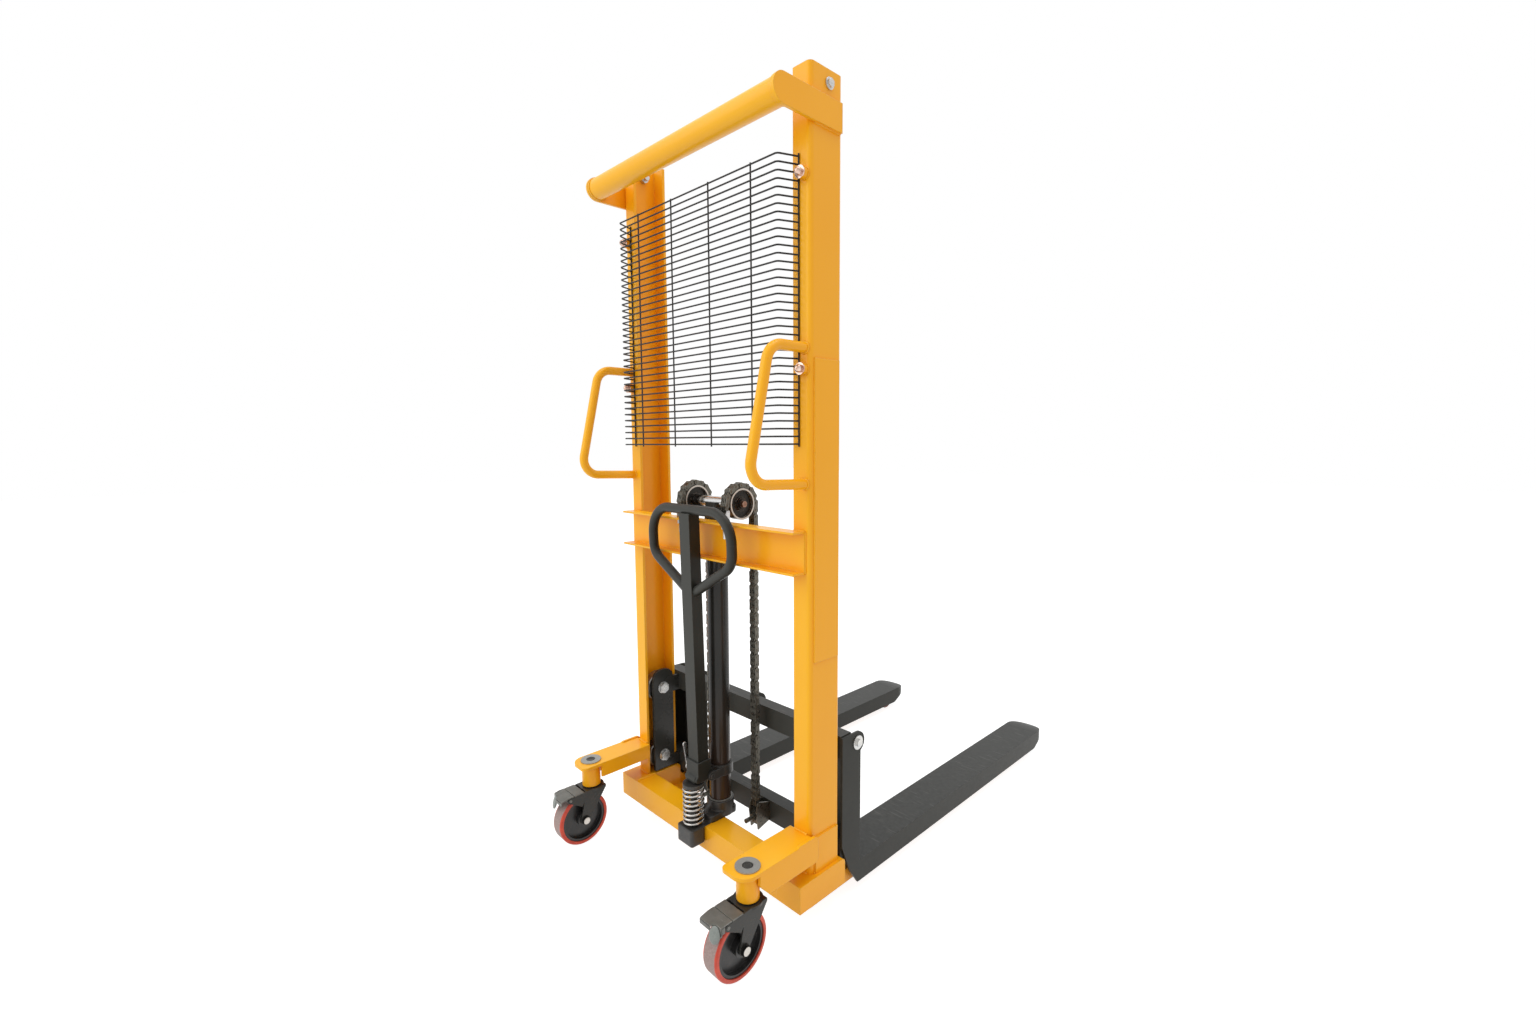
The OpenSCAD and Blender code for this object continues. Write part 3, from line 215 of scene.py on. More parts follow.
class Finish(Tree):
    """A material being put together for one of the stacker's surfaces."""

    def __init__(self, name):
        self.material = bpy.data.materials.new(name)
        self.material.use_nodes = True
        super().__init__(self.material.node_tree)
        self.place = self.node("ShaderNodeTexCoord").outputs["Object"]

    def stretched(self, scale):
        """Object coordinates, scaled."""
        sockets = {"Vector": self.place, "Scale": scale}
        return self.node("ShaderNodeMapping", sockets=sockets).outputs[0]

    def noise(self, scale, detail=4.0, rough=0.55, along=None):
        """Cloudy variation, scale patches to the metre."""
        return self.level("ShaderNodeTexNoise", sockets={
            "Vector": along or self.place,
            "Scale": scale,
            "Detail": detail,
            "Roughness": rough,
        })

    def corners(self, reach):
        """How far a point is shut in by what stands within reach of it."""
        open_share = self.level("ShaderNodeAmbientOcclusion", "AO", {"samples": 6},
                                {"Distance": reach})
        return 1 - open_share

    def share_of(self, vector, axis):
        """A vector's part along an axis."""
        return self.level("ShaderNodeSeparateXYZ", axis, sockets={"Vector": vector})

    def facing(self, axis):
        """1 where the surface faces along an axis, -1 where it faces the other way."""
        return self.share_of(self.node("ShaderNodeNewGeometry").outputs["Normal"], axis)

    def part(self, axis):
        """Where a point is along an axis."""
        return self.share_of(self.place, axis)

    def height(self):
        """Height above the floor."""
        return self.part("Z")

    def side(self):
        """Distance from the machine's middle plane."""
        return self.part("X").size()

    def radius_about_x(self, y, z):
        """Distance from an axis along X, given in millimetres."""
        centre = at(0, y, z)
        across, up = self.part("Y") - centre.y, self.part("Z") - centre.z
        return (across * across + up * up) ** 0.5

    def radius_about_z(self, x, y):
        """Distance from the nearer of two upright axes, x millimetres each side of the middle."""
        centre = at(x, y, 0)
        across, along = self.side() - centre.x, self.part("Y") - centre.y
        return (across * across + along * along) ** 0.5

    def rounded(self, radius):
        """The normal of edges rounded to a radius."""
        return self.node("ShaderNodeBevel", {"samples": 4}, {"Radius": radius}).outputs[0]

    def edge(self, soft):
        """How much of an edge a point is, from the rounded normal's lean off the plain one."""
        plain = self.node("ShaderNodeNewGeometry").outputs["Normal"]
        settings = {"operation": "DOT_PRODUCT"}
        lean = 1 - self.level("ShaderNodeVectorMath", "Value", settings, {0: soft, 1: plain})
        return lean.math("MULTIPLY", lean, EDGE_GAIN, clamp=True)

    def mix(self, share, first, second):
        """From the first colour to the second as share goes from 0 to 1."""
        sockets = {0: share, 6: rgba(first), 7: rgba(second)}
        return self.node("ShaderNodeMix", {"data_type": "RGBA"}, sockets).outputs[2]

    def clouds(self, noise, first, second):
        """Two colours in the clouds of a noise."""
        return self.mix(noise.above(NOISE_LOW, NOISE_HIGH), first, second)

    def bumps(self, normal, *layers):
        """Relief on a normal: (height, strength, depth in metres) for each layer."""
        for height, strength, depth in layers:
            sockets = {"Height": height, "Strength": strength, "Distance": depth}
            if normal is not None:
                sockets["Normal"] = normal
            normal = self.node("ShaderNodeBump", sockets=sockets).outputs[0]
        return normal

    def surface(self, color, rough, normal, metal=0.0, coat=0.0, coat_rough=0.05, shine=0.5):
        """Ends the material: shine is the strength of plain reflections."""
        shader = self.node("ShaderNodeBsdfPrincipled", sockets={
            "Base Color": rgba(color),
            "Roughness": rough,
            "Metallic": metal,
            "Normal": normal,
            "Coat Weight": coat,
            "Coat Roughness": coat_rough,
            "Specular IOR Level": shine,
        })
        self.node("ShaderNodeOutputMaterial", sockets={"Surface": shader.outputs[0]})
        return self.material


# Finishes


def yellow_paint():
    """Warm yellow powder coat: even and saturated, a little dust low down, rubbed edges. Painted
    shade deepens the faces toward +X and the corners to orange, and a painted highlight lightens the
    edges.
    """
    f = Finish("yellow_paint")
    soft = f.rounded(0.0024)
    edge = f.edge(soft)
    cloud = f.noise(3.5, 3)
    fine = f.noise(70, 4)
    low = f.height().below(0.03, 0.42)
    dust = f.noise(22, 6, 0.62).above(0.50, 0.72) * low
    color = f.clouds(cloud, (0.930, 0.448, 0.006), (0.955, 0.475, 0.009))
    # painted shade: the faces toward +X and the corners shut in by nearby parts turn deeper orange
    painted_shade_orange = (0.90, 0.315, 0.003)
    color = f.mix(f.facing("X").above(0.4, 0.9) * 0.42, color, painted_shade_orange)
    color = f.mix(f.corners(0.16) * 0.75, color, painted_shade_orange)
    # painted highlight: lighter yellow along the rounded edges
    color = f.mix(edge * fine.above(0.3, 0.6) * 0.6, color, (0.99, 0.62, 0.08))
    color = f.mix(dust * 0.08, color, (0.55, 0.32, 0.10))
    chips = f.noise(170, 3).above(0.69, 0.72) * edge
    color = f.mix(chips * 0.7, color, (0.20, 0.12, 0.05))
    rough = 0.31 + fine.swing(0.10) + dust * 0.2
    normal = f.bumps(soft, (f.noise(520, 2), 0.05, 0.0003))
    return f.surface(color, rough, normal=normal, coat=0.12, coat_rough=0.12, shine=0.26)


def dark_paint():
    """Satin black paint with an olive cast, dusty on top, rubbed grey along the edges. Painted light
    lightens the rear faces and the tops, and the rubbed edges also stand as painted highlights.
    """
    f = Finish("dark_paint")
    soft = f.rounded(0.0014)
    edge = f.edge(soft)
    cloud = f.noise(9, 5, 0.6)
    fine = f.noise(90, 5, 0.6)
    up = f.facing("Z").above(0.3, 0.95)
    back = f.facing("Y").below(-0.95, -0.5)
    color = f.clouds(cloud, (0.017, 0.0165, 0.0125), (0.024, 0.0235, 0.018))
    # painted light: the faces toward -Y and the faces looking up are lighter
    color = f.mix(back * 0.8, color, (0.050, 0.051, 0.045))
    color = f.mix(up * 0.9, color, (0.036, 0.037, 0.035))
    color = f.mix(up * fine.above(0.3, 0.75) * 0.45, color, (0.085, 0.086, 0.082))
    scuffs = f.noise(1.0, 3, 0.5, along=f.stretched((16, 160, 160))).above(0.62, 0.66) * up
    color = f.mix(scuffs * 0.25, color, (0.15, 0.148, 0.14))
    # rubbed grey edges, which also stand as painted highlights
    color = f.mix(edge * fine.above(0.4, 0.62) * 0.7, color, (0.17, 0.168, 0.158))
    rough = 0.38 + fine.swing(0.18) + up * 0.08
    normal = f.bumps(soft, (f.noise(520, 3), 0.09, 0.0004))
    return f.surface(color, rough, normal=normal, shine=0.20)


def oily_dark_paint():
    """Smooth black enamel under oil, for the casters, the roller plates and the crosshead."""
    f = Finish("oily_dark_paint")
    soft = f.rounded(0.0012)
    edge = f.edge(soft)
    cloud = f.noise(8, 4, 0.6)
    fine = f.noise(110, 4, 0.6)
    color = f.clouds(cloud, (0.022, 0.022, 0.019), (0.034, 0.033, 0.029))
    # rubbed grey edges, which also stand as painted highlights
    color = f.mix(edge * fine.above(0.4, 0.6) * 0.6, color, (0.16, 0.155, 0.145))
    rough = 0.27 + cloud.swing(0.06)
    return f.surface(color, rough, normal=soft, coat=0.04, coat_rough=0.15, shine=0.32)


def cylinder_enamel():
    """Black enamel of the lift cylinder, with a painted brown reflection low down."""
    f = Finish("cylinder_enamel")
    cloud = f.noise(8, 4, 0.6)
    low = f.height().below(0.20, 0.52)
    color = f.clouds(cloud, (0.018, 0.018, 0.016), (0.027, 0.026, 0.023))
    # painted reflection: brown towards the bottom
    color = f.mix(low * 0.85, color, (0.048, 0.027, 0.017))
    rough = 0.25 + cloud.swing(0.06)
    normal = f.bumps(None, (f.noise(380, 2), 0.03, 0.0003))
    return f.surface(color, rough, normal=normal, coat=0.04, coat_rough=0.15, shine=0.25)


def cast_metal():
    """Sand cast pump body: rough black skin with oily hollows."""
    f = Finish("cast_metal")
    soft = f.rounded(0.0022)
    edge = f.edge(soft)
    grit = f.noise(260, 6, 0.7)
    cloud = f.noise(20, 5)
    color = f.clouds(cloud, (0.018, 0.018, 0.017), (0.040, 0.038, 0.034))
    color = f.mix(edge * grit.above(0.4, 0.6) * 0.8, color, (0.15, 0.145, 0.135))
    rough = 0.40 + grit.swing(0.4)
    normal = f.bumps(soft, (grit, 0.35, 0.0008), (f.noise(60, 3), 0.2, 0.002))
    return f.surface(color, rough, normal=normal)


def pedal_metal():
    """Pressed brake pedal: grey, rubbed by boots."""
    f = Finish("pedal_metal")
    soft = f.rounded(0.0012)
    edge = f.edge(soft)
    cloud = f.noise(45, 5)
    fine = f.noise(240, 5)
    color = f.clouds(cloud, (0.125, 0.125, 0.112), (0.175, 0.174, 0.158))
    color = f.mix(edge * fine.above(0.35, 0.6), color, (0.38, 0.37, 0.34))
    rough = 0.42 + fine.swing(0.3)
    normal = f.bumps(soft, (fine, 0.25, 0.0006))
    return f.surface(color, rough, metal=0.35, normal=normal)


def zinc_plate():
    """Bright zinc: silvery with faint bluish and yellow clouds and specks of dirt."""
    f = Finish("zinc_plate")
    soft = f.rounded(0.0006)
    edge = f.edge(soft)
    cloud = f.noise(70, 5)
    fine = f.noise(600, 4)
    color = f.clouds(cloud, (0.52, 0.53, 0.54), (0.66, 0.64, 0.60))
    color = f.mix(f.noise(150, 5).above(0.58, 0.76) * 0.25, color, (0.22, 0.20, 0.17))
    color = f.mix(edge * 0.5, color, (0.80, 0.80, 0.80))
    rough = 0.27 + fine.swing(0.25)
    normal = f.bumps(soft, (fine, 0.08, 0.0002))
    return f.surface(color, rough, metal=1.0, normal=normal)


def turned_steel():
    """Turned and ground steel, oily: rollers and shafts."""
    f = Finish("turned_steel")
    soft = f.rounded(0.0008)
    edge = f.edge(soft)
    cloud = f.noise(40, 5)
    rings = f.noise(1.0, 2, 0.4, along=f.stretched((2200, 30, 30)))
    color = f.clouds(cloud, (0.17, 0.165, 0.155), (0.34, 0.33, 0.31))
    color = f.mix(edge * 0.7, color, (0.62, 0.61, 0.58))
    rough = 0.30 + rings.swing(0.25) + cloud.swing(0.2)
    normal = f.bumps(soft, (rings, 0.12, 0.0002))
    return f.surface(color, rough, metal=0.95, normal=normal)


def pulley_steel():
    """Chain pulley: greasy black recess and hub, a rim worn bright."""
    f = Finish("pulley_steel")
    soft = f.rounded(0.0008)
    edge = f.edge(soft)
    fine = f.noise(180, 5, 0.6)
    radius = f.radius_about_x(RAM_Y, PULLEY_Z)
    rim = (radius + fine.swing(0.0015)).above(0.0360, 0.0368)
    rim = rim * (radius - 0.0405).below(0.0, 0.0008)
    lip = (radius - 0.0188).size().below(0.0003, 0.0010)
    grease = f.clouds(fine, (0.012, 0.011, 0.010), (0.040, 0.035, 0.030))
    color = f.mix(lip * fine.above(0.35, 0.6) * 0.6, grease, (0.22, 0.15, 0.11))
    color = f.mix(rim * 0.9, color, (0.56, 0.50, 0.44))
    color = f.mix(edge * fine.above(0.35, 0.55) * 0.7, color, (0.50, 0.45, 0.40))
    rough = 0.36 + fine.swing(0.3)
    return f.surface(color, rough, metal=0.8, normal=f.bumps(soft, (fine, 0.15, 0.0003)))


def axle_steel():
    """Pulley axle: bright ground sleeve between the pulleys, greasy collars and rusty pin ends."""
    f = Finish("axle_steel")
    soft = f.rounded(0.0008)
    cloud = f.noise(40, 4)
    fine = f.noise(240, 5, 0.6)
    ends = f.side().above(0.090, 0.092)
    pin = f.radius_about_x(RAM_Y, PULLEY_Z).below(0.0078, 0.0086)
    bright = f.clouds(cloud, (0.60, 0.61, 0.62), (0.74, 0.74, 0.73))
    rust = f.clouds(fine, (0.20, 0.10, 0.065), (0.36, 0.22, 0.16))
    dull = f.mix(pin, (0.050, 0.042, 0.036), rust)
    color = f.mix(ends, bright, dull)
    rough = 0.14 + ends * 0.26 + cloud.swing(0.08)
    return f.surface(color, rough, metal=1.0, normal=f.bumps(soft, (fine, 0.05, 0.0002)))


def chain_steel():
    """Leaf chain: blued steel under old olive oil, bright along the plates' edges."""
    f = Finish("chain_steel")
    soft = f.rounded(0.0004)
    edge = f.edge(soft)
    cloud = f.noise(120, 5, 0.6)
    fine = f.noise(700, 3)
    color = f.clouds(cloud, (0.085, 0.080, 0.066), (0.165, 0.155, 0.128))
    color = f.mix(edge * fine.above(0.35, 0.6) * 0.7, color, (0.40, 0.38, 0.32))
    rough = 0.30 + cloud.swing(0.30)
    normal = f.bumps(soft, (fine, 0.10, 0.0002))
    return f.surface(color, rough, metal=0.65, normal=normal)


def spring_steel():
    """Bright spring wire, with painted shade underneath."""
    f = Finish("spring_steel")
    cloud = f.noise(60, 4)
    fine = f.noise(400, 4)
    # painted shade: darker where the wire faces down
    painted_shade_below = f.facing("Z").below(-0.55, 0.10)
    color = f.clouds(cloud, (0.42, 0.41, 0.39), (0.58, 0.56, 0.53))
    color = f.mix(painted_shade_below * 0.7, color, (0.11, 0.09, 0.075))
    rough = 0.22 + fine.swing(0.2)
    return f.surface(color, rough, metal=1.0, normal=f.bumps(None, (fine, 0.05, 0.0002)))


def guard_wire():
    """Guard wire: thin black plastic coat."""
    f = Finish("guard_wire")
    fine = f.noise(300, 4)
    color = f.clouds(fine, (0.010, 0.010, 0.010), (0.022, 0.021, 0.019))
    normal = f.bumps(None, (fine, 0.1, 0.0002))
    return f.surface(color, 0.42 + fine.swing(0.2), normal=normal, shine=0.3)


def chrome():
    """The chromed ram."""
    f = Finish("chrome")
    soft = f.rounded(0.0006)
    cloud = f.noise(60, 4)
    color = f.mix(cloud.above(0.35, 0.7), (0.70, 0.70, 0.71), (0.60, 0.58, 0.54))
    rough = 0.10 + (cloud - 0.4) * 0.10
    return f.surface(color, rough, metal=1.0, normal=f.bumps(soft, (f.noise(300), 0.03, 0.0002)))


def guard_nut_warm_reflection():
    """Domed nuts of the guard: polished, with a warm copper tint that is a painted reflection."""
    f = Finish("guard_nut_warm_reflection")
    soft = f.rounded(0.0006)
    cloud = f.noise(90, 4)
    # painted reflection: a warm copper tint in the polished metal's colour
    color = f.mix(cloud.above(0.35, 0.65), (0.50, 0.30, 0.22), (0.74, 0.58, 0.50))
    rough = 0.12 + (cloud - 0.4) * 0.12
    return f.surface(color, rough, metal=1.0, normal=f.bumps(soft, (f.noise(300), 0.03, 0.0002)))


def axle_nut_zinc():
    """Caster axle nut: bright over its end, dark with grease out to the washer."""
    f = Finish("axle_nut_zinc")
    soft = f.rounded(0.0006)
    fine = f.noise(500, 4)
    greasy = f.radius_about_x(WHEEL_Y, WHEEL_Z).above(0.0094, 0.0100)
    color = f.clouds(fine, (0.48, 0.46, 0.43), (0.66, 0.63, 0.58))
    color = f.mix(greasy, color, (0.035, 0.034, 0.031))
    rough = 0.30 + fine.swing(0.2)
    return f.surface(color, rough, metal=0.9, normal=f.bumps(soft, (fine, 0.08, 0.0002)))


def toe_paint():
    """Pale grey toe pads of the brake pedals."""
    f = Finish("toe_paint")
    soft = f.rounded(0.0010)
    edge = f.edge(soft)
    fine = f.noise(240, 4)
    color = f.clouds(fine, (0.185, 0.205, 0.190), (0.235, 0.255, 0.235))
    color = f.mix(edge * 0.5, color, (0.33, 0.34, 0.32))
    return f.surface(color, 0.42 + fine.swing(0.2), normal=f.bumps(soft, (fine, 0.1, 0.0003)))


def washer_steel():
    """Caster bolts: grey washer round a dark bolt head."""
    f = Finish("washer_steel")
    soft = f.rounded(0.0008)
    edge = f.edge(soft)
    fine = f.noise(300, 4)
    ring = f.radius_about_z(CASTER_X, KINGPIN_Y).above(0.0126, 0.0130)
    grey = f.clouds(fine, (0.30, 0.30, 0.285), (0.38, 0.38, 0.36))
    color = f.mix(ring, (0.030, 0.030, 0.028), grey)
    color = f.mix(edge * 0.6, color, (0.50, 0.50, 0.47))
    rough = 0.42 + fine.swing(0.2)
    return f.surface(color, rough, metal=0.6, normal=f.bumps(soft, (fine, 0.1, 0.0002)))


def tread_rubber():
    """Grey floor dust ground into a polyurethane tread, red at its shoulders."""
    f = Finish("tread_rubber")
    middle = (f.side() - CASTER_X / 1000).size()
    fine = f.noise(260, 5, 0.65)
    cloud = f.noise(50, 4)
    dusty = (middle + cloud.swing(0.005)).below(0.0165, 0.0190)
    red = f.clouds(cloud, (0.50, 0.034, 0.014), (0.68, 0.070, 0.026))
    grey = f.clouds(fine, (0.23, 0.180, 0.165), (0.37, 0.300, 0.275))
    color = f.mix(dusty * 0.93, red, grey)
    rough = 0.34 + dusty * 0.22 + fine.swing(0.2)
    return f.surface(color, rough, normal=f.bumps(None, (fine, 0.18, 0.0005)))


def roller_nylon():
    """Load roller: worn brown red polyurethane."""
    f = Finish("roller_nylon")
    soft = f.rounded(0.001)
    fine = f.noise(200, 5, 0.65)
    color = f.clouds(fine, (0.19, 0.045, 0.022), (0.30, 0.11, 0.07))
    return f.surface(color, 0.45 + fine.swing(0.3), normal=f.bumps(soft, (fine, 0.2, 0.0005)))


def hub_plastic():
    """Wheel hub: black glass filled nylon, dusty in its recess."""
    f = Finish("hub_plastic")
    soft = f.rounded(0.001)
    fine = f.noise(320, 5, 0.65)
    cloud = f.noise(60, 4)
    color = f.clouds(fine, (0.010, 0.010, 0.010), (0.022, 0.021, 0.020))
    color = f.mix(cloud.above(0.5, 0.72) * 0.3, color, (0.075, 0.065, 0.06))
    return f.surface(color, 0.33 + fine.swing(0.3), normal=f.bumps(soft, (fine, 0.15, 0.0004)))


YELLOW = yellow_paint()
DARK = dark_paint()
OILY = oily_dark_paint()
CYLINDER = cylinder_enamel()
CAST = cast_metal()
PEDAL = pedal_metal()
ZINC = zinc_plate()
TURNED = turned_steel()
PULLEY = pulley_steel()
AXLE = axle_steel()
SPRING = spring_steel()
CHAIN = chain_steel()
WIRE = guard_wire()
CHROME = chrome()
WASHER = washer_steel()
AXLE_NUT = axle_nut_zinc()
WARM_REFLECTION_NUT = guard_nut_warm_reflection()
TOE = toe_paint()
TREAD = tread_rubber()
NYLON = roller_nylon()
HUB = hub_plastic()

FINISHES = {
    "yellow_paint": YELLOW,
    "dark_paint": DARK,
    "cast_body": CAST,
    "zinc_plated": ZINC,
    "ground_steel": TURNED,
    "oiled_chain": CHAIN,
    "black_wire": WIRE,
    "chrome_nuts": WARM_REFLECTION_NUT,
    "chromed_ram": CHROME,
    "roller_tread": NYLON,
    "wheel_tread": TREAD,
    "wheel_hub": HUB,
}
OWN_FINISH = {
    "cylinder_tube": CYLINDER,
    "cylinder_gland": CYLINDER,
    "lever_pin": CAST,
    "lever_socket": DARK,
    "pump_plunger": CAST,
    "kingpin_bolts": WASHER,
    "caster_axle_left": AXLE_NUT,
    "caster_axle_right": AXLE_NUT,
    "roller_plate_left": OILY,
    "roller_plate_right": OILY,
    "crosshead": OILY,
    "pulley_axle": AXLE,
    "pulley_left": PULLEY,
    "pulley_right": PULLEY,
    "brake_pedal_left": PEDAL,
    "brake_pedal_right": PEDAL,
    "caster_fork_left": OILY,
    "caster_fork_right": OILY,
}


def dress_nodes():
    """Gives every CAD node its finish."""
    for name, obj in nodes.items():
        finish = OWN_FINISH.get(name) or FINISHES[slot_of[name]]
        obj.data.materials.clear()
        obj.data.materials.append(finish)


# Making pieces


def make_piece(name, mesh, finish, body, smooth=40):
    """A mesh in the part's frame becomes a named piece that rides on a body."""
    mesh.materials.clear()
    mesh.materials.append(finish)
    mesh.shade_smooth()
    mesh.set_sharp_from_angle(angle=math.radians(smooth))
    obj = linked(name, mesh)
    if body:
        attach(obj, body)
    return obj


def linked(name, data):
    """A mesh or a lamp as an object in the scene."""
    obj = bpy.data.objects.new(name, data)
    scene.collection.objects.link(obj)
    return obj


def mesh_from(bm, name, outward=True):
    """Ends a bmesh as a plain mesh, with its faces turned outwards."""
    if outward:
        bmesh.ops.recalc_face_normals(bm, faces=bm.faces)
    mesh = bpy.data.meshes.new(name)
    bm.to_mesh(mesh)
    bm.free()
    return mesh


def evaluated(obj):
    """The object's mesh with its modifiers applied. The object itself goes."""
    bpy.context.view_layer.update()
    seen = obj.evaluated_get(bpy.context.evaluated_depsgraph_get())
    mesh = bpy.data.meshes.new_from_object(seen)
    bpy.data.objects.remove(obj)
    return mesh


def angles(count):
    """Even angles round a circle."""
    return [2 * math.pi * k / count for k in range(count)]


def bridge(bm, first, second):
    """Faces between two closed loops of vertices. A loop of one is a point."""
    sides = max(len(first), len(second))
    for k in range(sides):
        j = (k + 1) % sides
        corners = [first[k % len(first)], first[j % len(first)],
                   second[j % len(second)], second[k % len(second)]]
        bm.faces.new(list(dict.fromkeys(corners)))


def cap(bm, first, last):
    """Closes the two ends of a row of loops."""
    bm.faces.new(first[::-1])
    bm.faces.new(last)


def swept(points, radius, sides, closed=False, swell=None):
    """Tube along points; swell(i) scales the radius at point i."""
    bm = bmesh.new()
    count = len(points)
    rings = []
    lift = None
    for i, p in enumerate(points):
        before = points[(i - 1) % count] if closed or i else points[0]
        after = points[(i + 1) % count] if closed or i < count - 1 else points[-1]
        along = (after - before).normalized()
        if lift is None:
            lift = along.orthogonal().normalized()
        lift = (lift - along * lift.dot(along)).normalized()
        out = along.cross(lift)
        r = radius * (swell(i) if swell else 1)
        rings.append([bm.verts.new(p + r * math.cos(a) * lift + r * math.sin(a) * out)
                      for a in angles(sides)])
    for a, b in zip(rings, rings[1:]):
        bridge(bm, a, b)
    if closed:
        bridge(bm, rings[-1], rings[0])
    else:
        cap(bm, rings[0], rings[-1])
    return mesh_from(bm, "swept")


def slab(outline, top, thick):
    """Sheet with an outline in XY whose upper face follows top(x, y), in millimetres."""
    bm = bmesh.new()
    upper = [bm.verts.new(at(x, y, top(x, y))) for x, y in outline]
    lower = [bm.verts.new(at(x, y, top(x, y) - thick)) for x, y in outline]
    cap(bm, lower, upper)
    bridge(bm, lower, upper)
    return mesh_from(bm, "slab")


def block(x0, x1, y0, y1, top, thick):
    """Square cut piece of sheet, in millimetres."""
    return slab([(x0, y1), (x0, y0), (x1, y0), (x1, y1)], lambda x, y: top, thick)


def turned(profile, centre, axis=(0, 0, 1), sides=40):
    """Solid turned round an axis through a point: (radius, height) points in millimetres."""
    turn = Vector((0, 0, 1)).rotation_difference(Vector(axis)).to_matrix()
    bm = bmesh.new()
    rings = []
    for radius, height in profile:
        spokes = [Vector((radius * math.cos(a), radius * math.sin(a), height)) / 1000
                  for a in (angles(sides) if radius else (0,))]
        rings.append([bm.verts.new(centre + turn @ spoke) for spoke in spokes])
    for a, b in zip(rings, rings[1:]):
        bridge(bm, a, b)
    return mesh_from(bm, "turned")


def flipped(mesh):
    """The mesh on the other side of the middle plane."""
    mesh.transform(Matrix.Diagonal((-1, 1, 1, 1)))
    mesh.flip_normals()
    return mesh


def joined(meshes, name):
    """Several meshes as one. They go."""
    bm = bmesh.new()
    for mesh in meshes:
        bm.from_mesh(mesh)
        bpy.data.meshes.remove(mesh)
    return mesh_from(bm, name, outward=False)


# Welds

BEAD_STEP = 0.0011
WEB = 370.5
REAR = -1.0


def spread(points, step, closed=False):
    """Points at an even step along a polyline."""
    out = []
    ends = points + [points[0]] if closed else points
    for a, b in zip(ends, ends[1:]):
        count = max(1, round((b - a).length / step))
        out += [a.lerp(b, i / count) for i in range(count)]
    if not closed:
        out.append(ends[-1].copy())
    return out


def bead(points, radius, closed=False, seed=0):
    """One weld bead: overlapping ripples along a seam, on a slow swell."""
    def swell(i):
        ripple = abs(math.sin(i * 0.75 + seed))
        return 0.80 + 0.16 * ripple + 0.07 * math.sin(i * 0.21 + seed * 2)

    return swept(spread(points, BEAD_STEP, closed), radius, 8, closed, swell)


def ring_points(centre, axis, radius, count):
    """A circle of points round an axis."""
    axis = Vector(axis).normalized()
    a = axis.orthogonal().normalized()
    b = axis.cross(a)
    return [centre + radius * (math.cos(angle) * a + math.sin(angle) * b)
            for angle in angles(count)]


def mirrored(points):
    """The same points on the other side of the middle plane."""
    return [Vector((-p.x, p.y, p.z)) for p in points]


def beads_both_sides(seams, name):
    """One mesh of beads along (points, radius, closed) seams, on both sides of the machine."""
    beads = []
    for side in (1, -1):
        for points, radius, closed in seams:
            seam = points if side > 0 else mirrored(points)
            beads.append(bead(seam, radius, closed, len(beads)))
    return joined(beads, name)


def frame_welds():
    """Beads on the yellow frame."""
    seams = []

    def put(start, end, radius=0.0026):
        seams.append(([at(*start), at(*end)], radius, False))

    def ring(x, y, z, axis, reach, count, radius):
        seams.append((ring_points(at(x, y, z), axis, reach, count), radius, True))

    # ear plates on the uprights' outer faces
    put((WEB, 98, 1855), (WEB, 98, 1919))
    put((WEB, 12, 1919), (WEB, 98, 1919))
    put((WEB, 12, 1855), (WEB, 98, 1855))
    # doubler edges
    put((WEB, 14, 1356), (WEB, 94, 1356), 0.0022)
    put((WEB, 14, 656), (WEB, 94, 656), 0.0022)
    # beam flanges on the uprights
    put((320, REAR, 966), (354, REAR, 966))
    put((320, REAR, 866), (354, REAR, 866))
    put((356, REAR, 868), (356, REAR, 964))
    # side handle ends
    for z in (1379, 1074):
        ring(353, -0.6, z, (0, 1, 0), 0.0125, 32, 0.0028)
    # foot round the upright
    put((WEB, 12, 135), (WEB, 96, 135), 0.003)
    put((320, -0.5, 135), (360, -0.5, 135), 0.003)
    put((320, 108.5, 135), (360, 108.5, 135), 0.003)
    # arm on the upright's rear face
    put((320, REAR, 235), (362, REAR, 235), 0.003)
    put((306, 17, 135), (306, -40, 135), 0.003)
    # boss under the arm's plate
    ring(CASTER_X, KINGPIN_Y, 225.5, (0, 0, 1), 0.027, 48, 0.0025)
    # guard bosses
    for z in (1332, 1750):
        ring(353, -0.5, z, (0, 1, 0), 0.0131, 32, 0.0018)
    # base beam on the foot
    put((304.5, -49, 134.5), (304.5, 16, 134.5), 0.003)
    obj = make_piece("frame_welds", beads_both_sides(seams, "frame_welds"), YELLOW, "frame")


def dark_welds():
    """Beads on the carriage and the forks."""
    seams = [
        ([at(305.5, 117.5, 383), at(305.5, 117.5, 432)], 0.0026, False),
        ([at(305.5, 117.5, 141), at(305.5, 117.5, 171)], 0.0026, False),
        ([at(260, 190.5, 86.5), at(366, 190.5, 86.5)], 0.003, False),
        ([at(80, 117, 168), at(80, 117, 118)], 0.002, False),
    ]
    obj = make_piece("carriage_welds", beads_both_sides(seams, "carriage_welds"), DARK, "carriage")


# Leaf chain links, made once and laid out by Geometry Nodes

PITCH = 19.05
CHAIN_X = 94
STRAND_LINKS = 44
WRAP_LINKS = 8
WRAP_ANGLE = math.radians(180 / WRAP_LINKS)
CHAIN_R = PITCH / (2 * math.sin(math.radians(90 / WRAP_LINKS)))
LEAF = 2.75
LEAF_STEP = 3.12
# Half height of a plate at its joints, over the pulleys and in the front strands
WRAP_BIG = 7.6
STRAND_BIG = 8.4
WAIST_IN = 1.6
END_ARC = 66
PIN_HALF = 11.5
PIN_R = 3.2
PIN_DOME = 0.5
DOWN = -math.pi / 2
